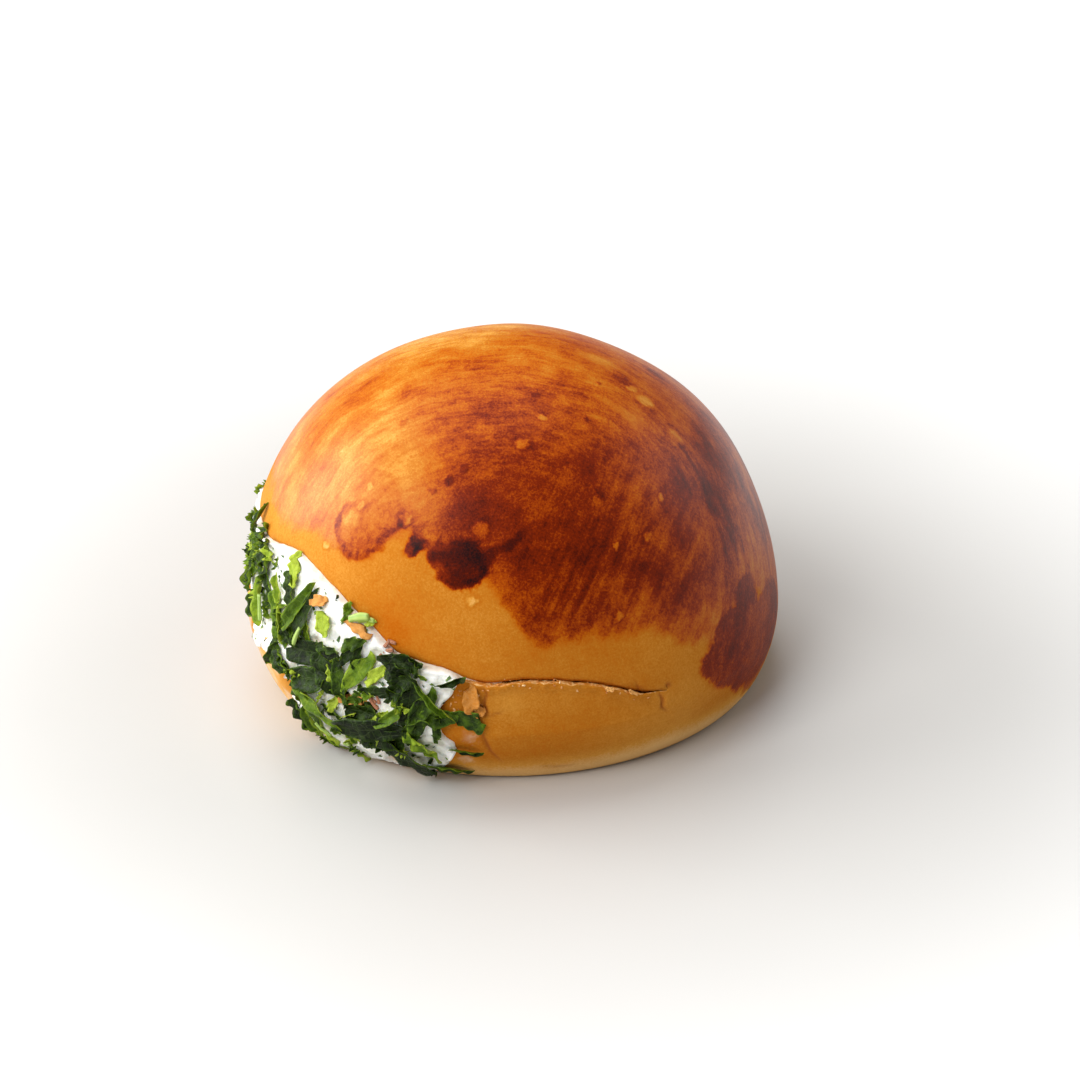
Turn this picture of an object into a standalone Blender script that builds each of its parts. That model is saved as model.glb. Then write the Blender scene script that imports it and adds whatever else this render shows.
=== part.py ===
"""A tall round milk bun, split at one side and filled with soft white cream under chopped parsley.

Metres, +Z up. The bun stands on its flat foot at z = 0, and the origin is the middle of the footprint.
Azimuths are degrees from +X towards +Y. The mouth opens towards azimuth 203, and a thin slit runs on
from both of its ends to the hinge of uncut bread at the back.
"""

import math
import random

import bmesh
import bpy
from mathutils import Vector, noise

# The bun's outline: a superellipse dome above the waist, a shorter foot below it
BUN_RADIUS = 0.0507
WAIST_HEIGHT = 0.014
DOME_RISE = 0.0555
DOME_POWER = 2.15
FOOT_RADIUS = 0.0465
FOOT_POWER = 1.5

# How the real bun departs from a turned shape
PLAN_OVAL = 0.045
OVAL_AZIMUTH = 194.0
DOME_LEAN = Vector((-0.043, -0.013))
FOOT_SHIFT = Vector((0.0014, 0.0030))
AXIS_PLACE = Vector((0.0010, 0.0009))
RELIEF_DEPTH = 0.0005
RELIEF_SIZE = 0.024
RELIEF_FADE_HEIGHT = 0.006

# Mesh density of the bun: rings from the top down, and the sides of each ring
DOME_RINGS = 20
FOOT_RINGS = 6
BASE_RINGS = 2
BUN_SIDES = 64

# The cut: azimuth in degrees, height in millimetres, from the hidden end of the slit to the shown one
UPPER_LIP = (
    (96, 19.0), (120, 24.5), (140, 26.5), (160, 32.0), (178, 36.0), (198, 38.0), (212, 41.0), (225, 38.8),
    (238, 33.4), (244, 30.0), (255, 28.0), (263, 25.8), (276, 26.0), (290, 23.4), (300, 19.6), (306.5, 18.2),
)
CUT_START = UPPER_LIP[0][0]
CUT_END = UPPER_LIP[-1][0]
SLIT_GAP = 0.0008
HINGE_HEIGHT = 0.0240
HINGE_GAP = 0.0010
SLIT_END_DEPTH = 0.0025
MOUTH_CENTRE = 203.0
MOUTH_HALF_SPAN = 61.0
MOUTH_GAPE = 0.0205
MOUTH_FULLNESS = 1.35
POCKET_DEPTH = 0.0030
CUTTER_REACH = 0.008
CUT_STEPS = (36, 6)

# The filling: the height of the smear's lower edge in millimetres against azimuth
SMEAR_FOOT = (
    (141, 19.0), (170, 19.0), (191, 18.5), (206, 15.5), (213, 8.0),
    (219, 1.6), (247, 1.2), (255, 3.0), (264, 9.0),
)
SMEAR_START = 140.0
SMEAR_END = 265.5
SMEAR_RAGGED = 0.8
SMEAR_RAGS = 5
SMEAR_ROUND_END = 3.5
SMEAR_OVER_LIP = 0.0010
SMEAR_THICKNESS = 0.0012
SMEAR_LUMPS = 0.0007
SMEAR_LUMP_SIZE = 0.006
SMEAR_STEPS = (28, 10)
FITTING_GAP = 0.0003
INNER_GAP = 0.0012
LEAST_SHARE = 0.3
LEAST_HEIGHT = 0.0006

# Steps that the direction out of the skin is measured over, and how far down it may point above the foot
AZIMUTH_STEP = 0.3
HEIGHT_STEP = 0.0002
STEEPEST_DROP = -0.1

# The filling inside: how far it stays behind the closed slit, and how close it comes to the hinge
FILLING_START = 112.0
FILLING_END = 291.0
FLUSH_HALF_SPAN = 42.0
FLUSH_PROUD = 0.0008
SETBACK_SPAN = 12.0
SLIT_SETBACK = 0.014
FILLING_DEPTH_SHARE = 0.92
FILLING_STEPS = (22, 4)

# Parsley, sizes in millimetres: azimuth, height, length, width and turn of the large pieces that show
LEAF_THICKNESS = 0.0006
MAIN_LEAVES = {
    "edge_blade": (190, 38, 7, 2.5, 88),
    "edge_curl": (197, 37, 6, 3, 80),
    "edge_dark": (196, 32, 8, 4, 70),
    "edge_long": (201, 26, 9, 3, 110),
    "bright_top": (213, 37, 5, 3, 80),
    "dark_upright": (212, 32, 8, 3.5, 75),
    "folded_long": (217, 31, 11, 3.5, 55),
    "trunk": (213, 24, 7, 2.5, 75),
    "lime_cube": (225, 31.5, 3, 3, 20),
    "lime_stem": (235, 35, 5, 1.6, 20),
    "stem_tip": (231, 35, 3, 2.5, 60),
    "patch_high": (223, 23.5, 10, 6, 5),
    "patch_low": (226, 20, 9, 5.5, 160),
    "bright_mid": (234, 25, 8, 4.5, 60),
    "curl_mid": (234, 29, 6, 4.5, 20),
    "bright_small": (240, 25, 5, 3, 15),
    "bunch": (245, 27, 8, 6, 10),
    "right_top": (256, 26, 5.5, 2.5, 20),
    "pale_curl": (253, 23, 8, 4, 130),
    "dark_right": (249, 22, 7, 5, 70),
    "on_crust": (260, 18, 6, 4, 165),
    "strip_on_crust": (259, 10, 6, 2, 175),
    "foot_right": (253, 4.5, 7, 2.5, 172),
    "big_blade": (238, 12.5, 13, 4.5, 175),
    "big_low": (244, 8, 10, 5, 145),
    "pale_long": (223, 13.5, 10, 4, 130),
    "lime_narrow": (225, 7, 6, 1.8, 140),
    "low_dark": (217, 5, 6, 3, 120),
    "curly_right": (250, 12, 7, 5, 30),
    "mid_dark": (237, 17, 7, 4, 0),
    "mid_blade": (245, 18, 7, 3.5, 40),
    "foot_thin": (225, 2.5, 7, 2, 155),
    "left_small": (209, 19.5, 5, 2.5, 70),
}
LEAF_WAVE = (0.15, 0.45)
LEAF_CUP = (0.1, 0.5)
CUT_END_WIDTHS = (0.35, 0.75)
MIDDLE_WIDTHS = (0.8, 1.1)
LARGE_STEPS = (4, 2)
LARGE_RISE = 0.0012

# The smaller pieces, spread evenly over the smear, and a few shreds of meat among them
SCATTER_SEED = 17
SCATTER_ROWS = 4
SCATTER_COLUMNS = 9
SCATTER_INSET = 4.0
SCATTER_MARGIN = 1.0
SCATTER_LENGTHS = (3.5, 7.5)
SCATTER_WIDTHS = (2.0, 4.0)
SHRED_COUNT = 6
SHRED_SIZE = (5.0, 1.3)
SHRED_AZIMUTHS = (225.0, 250.0)
SHRED_FLOOR = 15.0
SHRED_BELOW_LIP = 2.5
ANY_TURN = (0.0, 180.0)
SMALL_STEPS = (3, 1)
SMALL_RISE = 0.0009

MM = 0.001

# Finishes: the base colour and roughness of each solid, and the edges that stay sharp, in degrees
CRUST_COLOUR = (0.50, 0.20, 0.045, 1.0)
CRUST_ROUGHNESS = 0.42
FILLING_COLOUR = (0.30, 0.36, 0.16, 1.0)
FILLING_ROUGHNESS = 0.55
SHARP_ANGLE = 40.0


def mix(start, end, share):
    """The value or point that lies the given share of the way from start to end."""
    return start + (end - start) * share


def eased(share):
    """A share from 0 to 1 that starts and ends gently."""
    share = min(1.0, max(0.0, share))
    return share * share * (3.0 - 2.0 * share)


def along(points, place):
    """The height at a place on the smooth curve through (place, height) points."""
    last = len(points) - 1
    index = 0
    while index < last - 1 and place > points[index + 1][0]:
        index += 1
    slopes = []
    for near in (index, index + 1):
        before, after = points[max(near - 1, 0)], points[min(near + 1, last)]
        slopes.append((after[1] - before[1]) / (after[0] - before[0]))
    (start, low), (end, high) = points[index], points[index + 1]
    span = end - start
    share = min(1.0, max(0.0, (place - start) / span))
    bend = share * (1.0 - share) * span
    pull = slopes[0] * (1.0 - share) - slopes[1] * share
    return mix(low, high, eased(share)) + bend * pull


def skin_radius(height):
    """The bun's plan radius at a height above its foot."""
    if height >= WAIST_HEIGHT:
        share = min(1.0, (height - WAIST_HEIGHT) / DOME_RISE)
        return BUN_RADIUS * (1.0 - share ** DOME_POWER) ** (1.0 / DOME_POWER)
    share = (WAIST_HEIGHT - height) / WAIST_HEIGHT
    return mix(FOOT_RADIUS, BUN_RADIUS, (1.0 - share ** FOOT_POWER) ** (1.0 / FOOT_POWER))


def placed(azimuth, radius, height):
    """A point of the bun at a plan radius and height, with the oval plan, the lean and the low relief."""
    turn = math.radians(azimuth)
    oval = 1.0 + PLAN_OVAL * math.cos(2.0 * math.radians(azimuth - OVAL_AZIMUTH))
    flat = Vector((math.cos(turn), math.sin(turn))) * radius * oval
    flat += DOME_LEAN * max(0.0, height - WAIST_HEIGHT)
    flat += FOOT_SHIFT * min(1.0, max(0.0, (WAIST_HEIGHT - height) / WAIST_HEIGHT))
    point = Vector((flat.x, flat.y, height))
    fade = eased(height / RELIEF_FADE_HEIGHT)
    swell = RELIEF_DEPTH * fade * noise.noise(point / RELIEF_SIZE)
    outward = (point - Vector((0.0, 0.0, WAIST_HEIGHT))).normalized()
    return point + outward * swell + AXIS_PLACE.to_3d()


def on_skin(azimuth, height, out=0.0):
    """A point on the bun's skin, or the given distance out from it."""
    point = placed(azimuth, skin_radius(height), height)
    if not out:
        return point
    sideways = placed(azimuth + AZIMUTH_STEP, skin_radius(height), height) - point
    upwards = placed(azimuth, skin_radius(height + HEIGHT_STEP), height + HEIGHT_STEP) - point
    outward = sideways.cross(upwards).normalized()
    outward.z = max(outward.z, STEEPEST_DROP)
    return point + outward.normalized() * out


def upper_lip(azimuth):
    """The height of the upper lip of the cut."""
    return along(UPPER_LIP, azimuth) * MM


def lower_lip(azimuth):
    """The height of the lower lip: close under the upper one along the slit, far below it in the mouth."""
    from_centre = abs(azimuth - MOUTH_CENTRE) / MOUTH_HALF_SPAN
    gape = MOUTH_GAPE * eased(MOUTH_FULLNESS * (1.0 - from_centre))
    return upper_lip(azimuth) - SLIT_GAP - gape


def hinge(azimuth):
    """The point of the hinge, a chord between the two ends of the slit, that an azimuth leads to."""
    start, end = (on_skin(side, lower_lip(side), -SLIT_END_DEPTH) for side in (CUT_START, CUT_END))
    share = (azimuth - CUT_START) / (CUT_END - CUT_START)
    point = mix(start, end, share)
    point.z = mix(point.z, HINGE_HEIGHT, math.sin(math.pi * share))
    return point


def cut_point(azimuth, depth, side, gap=0.0):
    """A point on the lower wall of the cut (side 0) or the upper one (side 1).

    The depth runs from 0 at the skin to 1 at the hinge. Below 0 it lies outside the skin, by that share of
    the bun's radius. The gap is how far the point stays clear of the wall.
    """
    lips = (lower_lip(azimuth), upper_lip(azimuth))
    skin = on_skin(azimuth, lips[side], max(0.0, -depth) * BUN_RADIUS)
    end = hinge(azimuth)
    share = max(0.0, depth)
    middle = mix(0.5 * (lips[0] + lips[1]), end.z, share)
    wedge = mix(0.5 * (lips[1] - lips[0]), 0.5 * HINGE_GAP, share)
    half = max(wedge, 0.5 * SLIT_GAP + POCKET_DEPTH * math.sin(math.pi * share))
    point = mix(skin, end, share)
    point.z = middle + max(half - gap, LEAST_SHARE * half) * (2 * side - 1)
    return point


def new_object(name, mesh_data, collection, colour=None, roughness=None):
    """A mesh object made from a bmesh, which is freed, with its own material where a colour is given."""
    mesh = bpy.data.meshes.new(name)
    mesh_data.to_mesh(mesh)
    mesh_data.free()
    obj = bpy.data.objects.new(name, mesh)
    collection.objects.link(obj)
    if colour:
        material = bpy.data.materials.new(name)
        material.use_nodes = True
        shader = material.node_tree.nodes["Principled BSDF"]
        shader.inputs["Base Color"].default_value = colour
        shader.inputs["Roughness"].default_value = roughness
        shader.inputs["Metallic"].default_value = 0.0
        mesh.materials.append(material)
        mesh.shade_smooth()
        mesh.set_sharp_from_angle(angle=math.radians(SHARP_ANGLE))
    return obj


def slab(u_steps, v_steps, place):
    """A closed slab with both faces split alike.

    place(u, v, side) gives its points: u and v run from 0 to 1, and the side is 0 for the inner face and 1
    for the outer one.
    """
    shape = bmesh.new()
    bmesh.ops.create_grid(shape, x_segments=u_steps, y_segments=v_steps, size=0.5)
    bmesh.ops.triangulate(shape, faces=shape.faces[:], quad_method="FIXED")
    inner = shape.verts[:]
    grown = bmesh.ops.extrude_face_region(shape, geom=shape.faces[:], use_keep_orig=True)
    outer = [item for item in grown["geom"] if isinstance(item, bmesh.types.BMVert)]
    for side, verts in enumerate((inner, outer)):
        for vert in verts:
            vert.co = place(vert.co.x + 0.5, vert.co.y + 0.5, side)
    bmesh.ops.triangulate(shape, faces=shape.faces[:])
    bmesh.ops.recalc_face_normals(shape, faces=shape.faces[:])
    return shape


def ring_outline(ring):
    """The plan radius and height of a ring of the bun, counted from the top to the middle of the foot."""
    if ring <= DOME_RINGS:
        angle = 0.5 * math.pi * (1.0 - ring / DOME_RINGS)
        power = 2.0 / DOME_POWER
        return BUN_RADIUS * math.cos(angle) ** power, WAIST_HEIGHT + DOME_RISE * math.sin(angle) ** power
    ring -= DOME_RINGS
    if ring <= FOOT_RINGS:
        angle = 0.5 * math.pi * ring / FOOT_RINGS
        power = 2.0 / FOOT_POWER
        radius = mix(FOOT_RADIUS, BUN_RADIUS, max(0.0, math.cos(angle)) ** power)
        return radius, WAIST_HEIGHT * (1.0 - math.sin(angle) ** power)
    return FOOT_RADIUS * (1.0 - (ring - FOOT_RINGS) / BASE_RINGS), 0.0


def whole_bun():
    """The uncut bun: a sphere whose rings are moved onto the bun's outline."""
    rings = DOME_RINGS + FOOT_RINGS + BASE_RINGS
    shape = bmesh.new()
    bmesh.ops.create_uvsphere(shape, u_segments=BUN_SIDES, v_segments=rings, radius=1.0)
    for vert in shape.verts:
        ring = round(math.acos(max(-1.0, min(1.0, vert.co.z))) / math.pi * rings)
        radius, height = ring_outline(ring)
        vert.co = placed(math.degrees(math.atan2(vert.co.y, vert.co.x)), radius, height)
    bmesh.ops.triangulate(shape, faces=shape.faces[:])
    return shape


def cut_slab():
    """The cutter: the mouth, the slit and the pocket between them, from beyond the skin to the hinge."""
    reach = CUTTER_REACH / BUN_RADIUS

    def place(u, v, side):
        return cut_point(mix(CUT_START, CUT_END, u), mix(-reach, 1.0, v), side)

    return slab(*CUT_STEPS, place)


def inner_filling():
    """The cream between the halves: flush with the smear in the mouth, set back behind the closed slit."""

    def place(u, v, side):
        azimuth = mix(FILLING_START, FILLING_END, u)
        closed = eased((abs(azimuth - MOUTH_CENTRE) - FLUSH_HALF_SPAN) / SETBACK_SPAN)
        start = mix(-FLUSH_PROUD, SLIT_SETBACK, closed) / BUN_RADIUS
        return cut_point(azimuth, mix(start, FILLING_DEPTH_SHARE, v), side, INNER_GAP)

    return slab(*FILLING_STEPS, place)


def smear():
    """The lumpy coat of cream over the mouth and the crust round it, clear of both by the fitting gap."""

    def place(u, v, side):
        ragged = SMEAR_RAGGED * math.sin(SMEAR_RAGS * math.pi * v) * (2.0 * u - 1.0)
        round_end = SMEAR_ROUND_END * (2.0 * v - 1.0) ** 2 * (2.0 * u - 1.0)
        azimuth = mix(SMEAR_START, SMEAR_END, u) + ragged - round_end
        height = mix(along(SMEAR_FOOT, azimuth) * MM, upper_lip(azimuth) + SMEAR_OVER_LIP, v)
        lumps = SMEAR_LUMPS * noise.noise(on_skin(azimuth, height) / SMEAR_LUMP_SIZE)
        return on_skin(azimuth, height, FITTING_GAP + side * (SMEAR_THICKNESS + lumps))

    return slab(*SMEAR_STEPS, place)


def strip(azimuth, height, length, width, turn, rise, steps, draw):
    """A thin wavy piece that lies on the bun's skin: a chopped leaf, a stem or a shred of meat."""
    turned = math.radians(turn)
    taper = [draw.uniform(*CUT_END_WIDTHS)] + [draw.uniform(*MIDDLE_WIDTHS) for _ in range(steps[0] - 1)]
    taper.append(draw.uniform(*CUT_END_WIDTHS))
    wave = draw.uniform(*LEAF_WAVE) * MM
    phase = draw.uniform(0.0, 2.0 * math.pi)
    cup = draw.uniform(*LEAF_CUP) * MM
    widest = width * MIDDLE_WIDTHS[1]
    reach = 0.5 * (length * abs(math.sin(turned)) + widest * abs(math.cos(turned))) * MM
    middle = max(height * MM, LEAST_HEIGHT + reach)

    def place(u, v, side):
        across = (v - 0.5) * width * MM * taper[round(u * steps[0])]
        forward = (u - 0.5) * length * MM
        sideways = forward * math.cos(turned) - across * math.sin(turned)
        upwards = forward * math.sin(turned) + across * math.cos(turned)
        lift = rise + wave * (1.0 + math.sin(2.0 * math.pi * u + phase)) + cup * abs(2.0 * v - 1.0)
        turned_by = math.degrees(sideways / BUN_RADIUS)
        return on_skin(azimuth + turned_by, middle + upwards, lift + side * LEAF_THICKNESS)

    return slab(*steps, place)


def scattered(draw):
    """The azimuth, height, length, width and turn of the smaller pieces, a jittered grid over the smear."""
    start, end = SMEAR_START + SCATTER_INSET, SMEAR_END - SCATTER_INSET
    for row in range(SCATTER_ROWS):
        for column in range(SCATTER_COLUMNS):
            azimuth = mix(start, end, (column + draw.random()) / SCATTER_COLUMNS)
            low = along(SMEAR_FOOT, azimuth) + SCATTER_MARGIN
            high = along(UPPER_LIP, azimuth) - SCATTER_MARGIN
            height = mix(low, high, (row + draw.random()) / SCATTER_ROWS)
            length = draw.uniform(*SCATTER_LENGTHS)
            width = draw.uniform(*SCATTER_WIDTHS)
            yield azimuth, height, length, width, draw.uniform(*ANY_TURN)


def toppings(collection):
    """The parsley and the few shreds of meat, each an object of its own, ready to be fused to the cream."""
    draw = random.Random(SCATTER_SEED)
    pieces = [(numbers, SMALL_RISE, SMALL_STEPS) for numbers in scattered(draw)]
    pieces += [(numbers, LARGE_RISE, LARGE_STEPS) for numbers in MAIN_LEAVES.values()]
    for _ in range(SHRED_COUNT):
        azimuth = draw.uniform(*SHRED_AZIMUTHS)
        height = draw.uniform(SHRED_FLOOR, along(UPPER_LIP, azimuth) - SHRED_BELOW_LIP)
        pieces.append(((azimuth, height, *SHRED_SIZE, draw.uniform(*ANY_TURN)), SMALL_RISE, SMALL_STEPS))
    for numbers, rise, steps in pieces:
        new_object("topping", strip(*numbers, rise, steps, draw), collection)


def combine(target, operation, tool=None, tools=None):
    """Applies one Boolean of the target with an object or with a whole collection."""
    modifier = target.modifiers.new(operation, "BOOLEAN")
    modifier.operation = operation
    modifier.solver = "EXACT"
    if tools:
        modifier.operand_type = "COLLECTION"
        modifier.collection = tools
    else:
        modifier.object = tool
    mesh = bpy.data.meshes.new_from_object(target.evaluated_get(bpy.context.evaluated_depsgraph_get()))
    target.modifiers.remove(modifier)
    for material in target.data.materials:
        if material.name not in mesh.materials:
            mesh.materials.append(material)
    target.data = mesh


def keep_largest_body(obj):
    """Drops loose scraps and fills sealed hollows, by keeping only the faces of the largest body."""
    shape = bmesh.new()
    shape.from_mesh(obj.data)
    bmesh.ops.triangulate(shape, faces=shape.faces[:])
    waiting = set(shape.faces)
    bodies = []
    while waiting:
        body = {waiting.pop()}
        edge = list(body)
        while edge:
            face = edge.pop()
            near = {other for side in face.edges for other in side.link_faces} & waiting
            waiting -= near
            body |= near
            edge.extend(near)
        bodies.append(body)
    largest = max(bodies, key=len)
    others = [face for body in bodies if body is not largest for face in body]
    bmesh.ops.delete(shape, geom=others, context="FACES")
    shape.to_mesh(obj.data)
    shape.free()


def clear_scene():
    """Removes every object of the scene that the script starts in."""
    for obj in list(bpy.data.objects):
        bpy.data.objects.remove(obj, do_unlink=True)


def new_collection(name):
    """A collection linked to the scene."""
    collection = bpy.data.collections.new(name)
    bpy.context.scene.collection.children.link(collection)
    return collection


def build():
    """Makes the bun and its filling."""
    clear_scene()
    parts = new_collection("filled_bun")
    cutters = new_collection("cutters")
    loose = new_collection("toppings")

    bun = new_object("bun", whole_bun(), parts, CRUST_COLOUR, CRUST_ROUGHNESS)
    cutter = new_object("mouth_cutter", cut_slab(), cutters)
    cutter.hide_render = True
    cutter.display_type = "WIRE"
    combine(bun, "DIFFERENCE", tool=cutter)
    keep_largest_body(bun)

    filling = new_object("cream_filling", smear(), parts, FILLING_COLOUR, FILLING_ROUGHNESS)
    new_object("inner_filling", inner_filling(), loose)
    toppings(loose)
    combine(filling, "UNION", tools=loose)
    for obj in list(loose.objects):
        bpy.data.objects.remove(obj, do_unlink=True)
    keep_largest_body(filling)


build()
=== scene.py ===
"""Looks of a tall glazed milk bun, split at one side and filled with soft cream under chopped parsley.

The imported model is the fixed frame. Each piece is rebuilt here in finer detail, in the place of the node
that it stands for. Meshes are in metres. Azimuths are degrees round the bun, from +X towards +Y, and
heights are counted from the foot. The place of a mark, a leaf or a shred is an azimuth with a height in
millimetres.
"""

import logging
import math
import random
from dataclasses import dataclass, field
from enum import Enum

import bmesh
import bpy
import numpy as np
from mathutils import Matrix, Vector, noise


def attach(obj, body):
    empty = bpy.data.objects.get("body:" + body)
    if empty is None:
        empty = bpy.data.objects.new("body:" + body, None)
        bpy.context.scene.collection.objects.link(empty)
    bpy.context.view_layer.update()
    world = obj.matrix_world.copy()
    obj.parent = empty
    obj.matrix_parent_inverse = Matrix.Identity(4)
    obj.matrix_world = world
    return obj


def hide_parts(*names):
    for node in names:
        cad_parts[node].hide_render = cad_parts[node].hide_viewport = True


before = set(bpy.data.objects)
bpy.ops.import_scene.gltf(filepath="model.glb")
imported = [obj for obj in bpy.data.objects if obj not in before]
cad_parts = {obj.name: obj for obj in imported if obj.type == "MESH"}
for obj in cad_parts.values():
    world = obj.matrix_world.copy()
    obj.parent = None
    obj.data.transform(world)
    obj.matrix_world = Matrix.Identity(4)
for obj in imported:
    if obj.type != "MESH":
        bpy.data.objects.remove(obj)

LOG = logging.getLogger("filled_bun")
MM = 0.001
FULL_TURN = 2.0 * math.pi
FRONT = 270.0

Array = np.ndarray
Number = float | Array
Pair = tuple[float, float]
Colour = tuple[float, float, float, float]
Stops = tuple[tuple[float, Colour], ...]
Material = bpy.types.Material
Piece = bpy.types.Object


class Stand(Enum):
    """The nodes of the frame that the pieces stand for, each with its material slot."""

    BREAD = ("bun", "crust")
    FILLING = ("cream_filling", "cream_and_herbs")


def mix(start: Number, end: Number, share: Number) -> Number:
    """The value or point that lies the given share of the way from start to end."""
    return start + (end - start) * share


def eased(share: Number) -> Array:
    """A share from 0 to 1 that starts and ends gently."""
    share = np.clip(share, 0.0, 1.0)
    return share * share * (3.0 - 2.0 * share)


def noise_at(points: Array, size: float, octaves: int = 1) -> Array:
    """Smooth noise from about -1 to 1 at many points.

    Args:
        points: An array whose last axis holds x, y and z.
        size: The size of the noise's largest lumps, in the points' unit.
        octaves: How many finer layers are added up.

    Returns:
        One value for each point.
    """
    flat = (points / size).reshape(-1, 3).tolist()
    if octaves == 1:
        values = [noise.noise(Vector(point)) for point in flat]
    else:
        values = [noise.fractal(Vector(point), 1.0, 2.0, octaves) for point in flat]
    return np.array(values).reshape(points.shape[:-1])


class Curve:
    """A smooth curve through (place, height) points, the one that the solids follow."""

    def __init__(self, points: tuple[Pair, ...]) -> None:
        """Works out the slopes at the points.

        Args:
            points: The places, in rising order, with their heights.
        """
        self.places, self.heights = np.array(points, float).T
        before = np.maximum(np.arange(len(points)) - 1, 0)
        after = np.minimum(np.arange(len(points)) + 1, len(points) - 1)
        rises = self.heights[after] - self.heights[before]
        self.slopes = rises / (self.places[after] - self.places[before])

    def at(self, place: Number) -> Array:
        """The heights at the given places.

        Args:
            place: Places along the curve. Those beyond its ends get the end's height.

        Returns:
            The heights, in the shape of the places.
        """
        index = np.searchsorted(self.places[1:-1], place)
        start, end = self.places[index], self.places[index + 1]
        share = np.clip((place - start) / (end - start), 0.0, 1.0)
        bend = share * (1.0 - share) * (end - start)
        pull = self.slopes[index] * (1.0 - share) - self.slopes[index + 1] * share
        return mix(self.heights[index], self.heights[index + 1], eased(share)) + bend * pull


@dataclass(frozen=True)
class BunForm:
    """The bun's outline and the walls of its cut, with the sizes that the solids have, in metres."""

    radius: float = 0.0507
    waist_height: float = 0.014
    dome_rise: float = 0.0555
    dome_power: float = 2.15
    foot_radius: float = 0.0465
    foot_power: float = 1.5
    plan_oval: float = 0.045
    oval_azimuth: float = 194.0
    dome_lean: Pair = (-0.043, -0.013)
    foot_shift: Pair = (0.0014, 0.0030)
    axis_place: Pair = (0.0010, 0.0009)
    relief_depth: float = 0.0005
    relief_size: float = 0.024
    relief_fade_height: float = 0.006
    slit_gap: float = 0.00012
    slit_taper: float = 5.0
    chip_depth: float = 0.0005
    chip_size: float = 2.4
    lip_ragged: float = 0.00018
    lip_ragged_size: float = 3.2
    lip_octaves: int = 3
    upper_lip_row: float = 7.0
    hinge_height: float = 0.0240
    hinge_gap: float = 0.0010
    slit_end_depth: float = 0.0025
    mouth_centre: float = 203.0
    mouth_half_span: float = 61.0
    mouth_gape: float = 0.0205
    mouth_fullness: float = 1.35
    pocket_depth: float = 0.0030
    pocket_start: float = 0.35
    least_open: float = 0.3
    steepest_drop: float = -0.1
    normal_steps: Pair = (0.3, 0.0002)
    lip: Curve = Curve((
        (96, 19), (120, 24.5), (140, 26.5), (160, 32), (178, 36), (198, 38), (212, 41),
        (225, 38.8), (238, 33.4), (244, 30), (255, 28), (263, 25.8), (276, 26), (290, 23.4),
        (300, 19.6), (306.5, 18.2),
    ))

    @property
    def cut_ends(self) -> Pair:
        """The azimuths of the two ends of the slit."""
        return float(self.lip.places[0]), float(self.lip.places[-1])

    def skin_radius(self, height: Array) -> Array:
        """The plan radius of the bun's skin, before the oval and the lean.

        Args:
            height: Heights above the foot.

        Returns:
            The radius at each height.
        """
        rise = np.clip((height - self.waist_height) / self.dome_rise, 0.0, 1.0)
        drop = np.clip((self.waist_height - height) / self.waist_height, 0.0, 1.0)
        dome = self.radius * (1.0 - rise ** self.dome_power) ** (1.0 / self.dome_power)
        share = (1.0 - drop ** self.foot_power) ** (1.0 / self.foot_power)
        return np.where(height >= self.waist_height, dome, mix(self.foot_radius, self.radius, share))

    def placed(self, azimuth: Array, radius: Array, height: Array) -> Array:
        """Points of the bun at a plan radius and height, with the oval plan, the lean and the low relief.

        Args:
            azimuth: In degrees.
            radius: Plan radii before the oval and the lean.
            height: Heights above the foot.

        Returns:
            An array of points whose last axis holds x, y and z.
        """
        azimuth, radius, height = np.broadcast_arrays(azimuth, radius, height)
        turn = np.radians(azimuth)
        oval = radius * (1.0 + self.plan_oval * np.cos(2.0 * np.radians(azimuth - self.oval_azimuth)))
        above = np.maximum(0.0, height - self.waist_height)
        below = np.clip((self.waist_height - height) / self.waist_height, 0.0, 1.0)
        across = np.cos(turn) * oval + self.dome_lean[0] * above + self.foot_shift[0] * below
        along = np.sin(turn) * oval + self.dome_lean[1] * above + self.foot_shift[1] * below
        points = np.stack([across, along, height], -1)
        fade = eased(height / self.relief_fade_height)
        swell = self.relief_depth * fade * noise_at(points, self.relief_size)
        outward = points - np.array([0.0, 0.0, self.waist_height])
        outward /= np.linalg.norm(outward, axis=-1, keepdims=True)
        return points + outward * swell[..., None] + np.array([*self.axis_place, 0.0])

    def on_skin(self, azimuth: Array, height: Array, out: Number = 0.0) -> Array:
        """Points on the bun's skin, or the given distance out from it.

        Args:
            azimuth: In degrees.
            height: Heights above the foot.
            out: Distances out from the skin.

        Returns:
            An array of points.
        """
        azimuth, height = np.broadcast_arrays(np.asarray(azimuth, float), np.asarray(height, float))
        point = self.placed(azimuth, self.skin_radius(height), height)
        turn_step, rise_step = self.normal_steps
        sideways = self.placed(azimuth + turn_step, self.skin_radius(height), height) - point
        upwards = self.placed(azimuth, self.skin_radius(height + rise_step), height + rise_step) - point
        outward = np.cross(sideways, upwards)
        outward /= np.linalg.norm(outward, axis=-1, keepdims=True)
        outward[..., 2] = np.maximum(outward[..., 2], self.steepest_drop)
        outward /= np.linalg.norm(outward, axis=-1, keepdims=True)
        return point + outward * np.broadcast_to(out, height.shape)[..., None]

    def _lip_noise(self, azimuth: Array, size: float, row: float) -> Array:
        """Smooth noise from about -1 to 1 along a lip of the cut.

        Args:
            azimuth: In degrees.
            size: The size of the largest lumps, in millimetres.
            row: Where the noise is read, so that two lips differ.

        Returns:
            One value for each azimuth.
        """
        arc = self.arc(np.asarray(azimuth, float), 0.0)
        way = np.stack([arc, np.full_like(arc, row), np.zeros_like(arc)], -1)
        return noise_at(way, size, self.lip_octaves)

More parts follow.
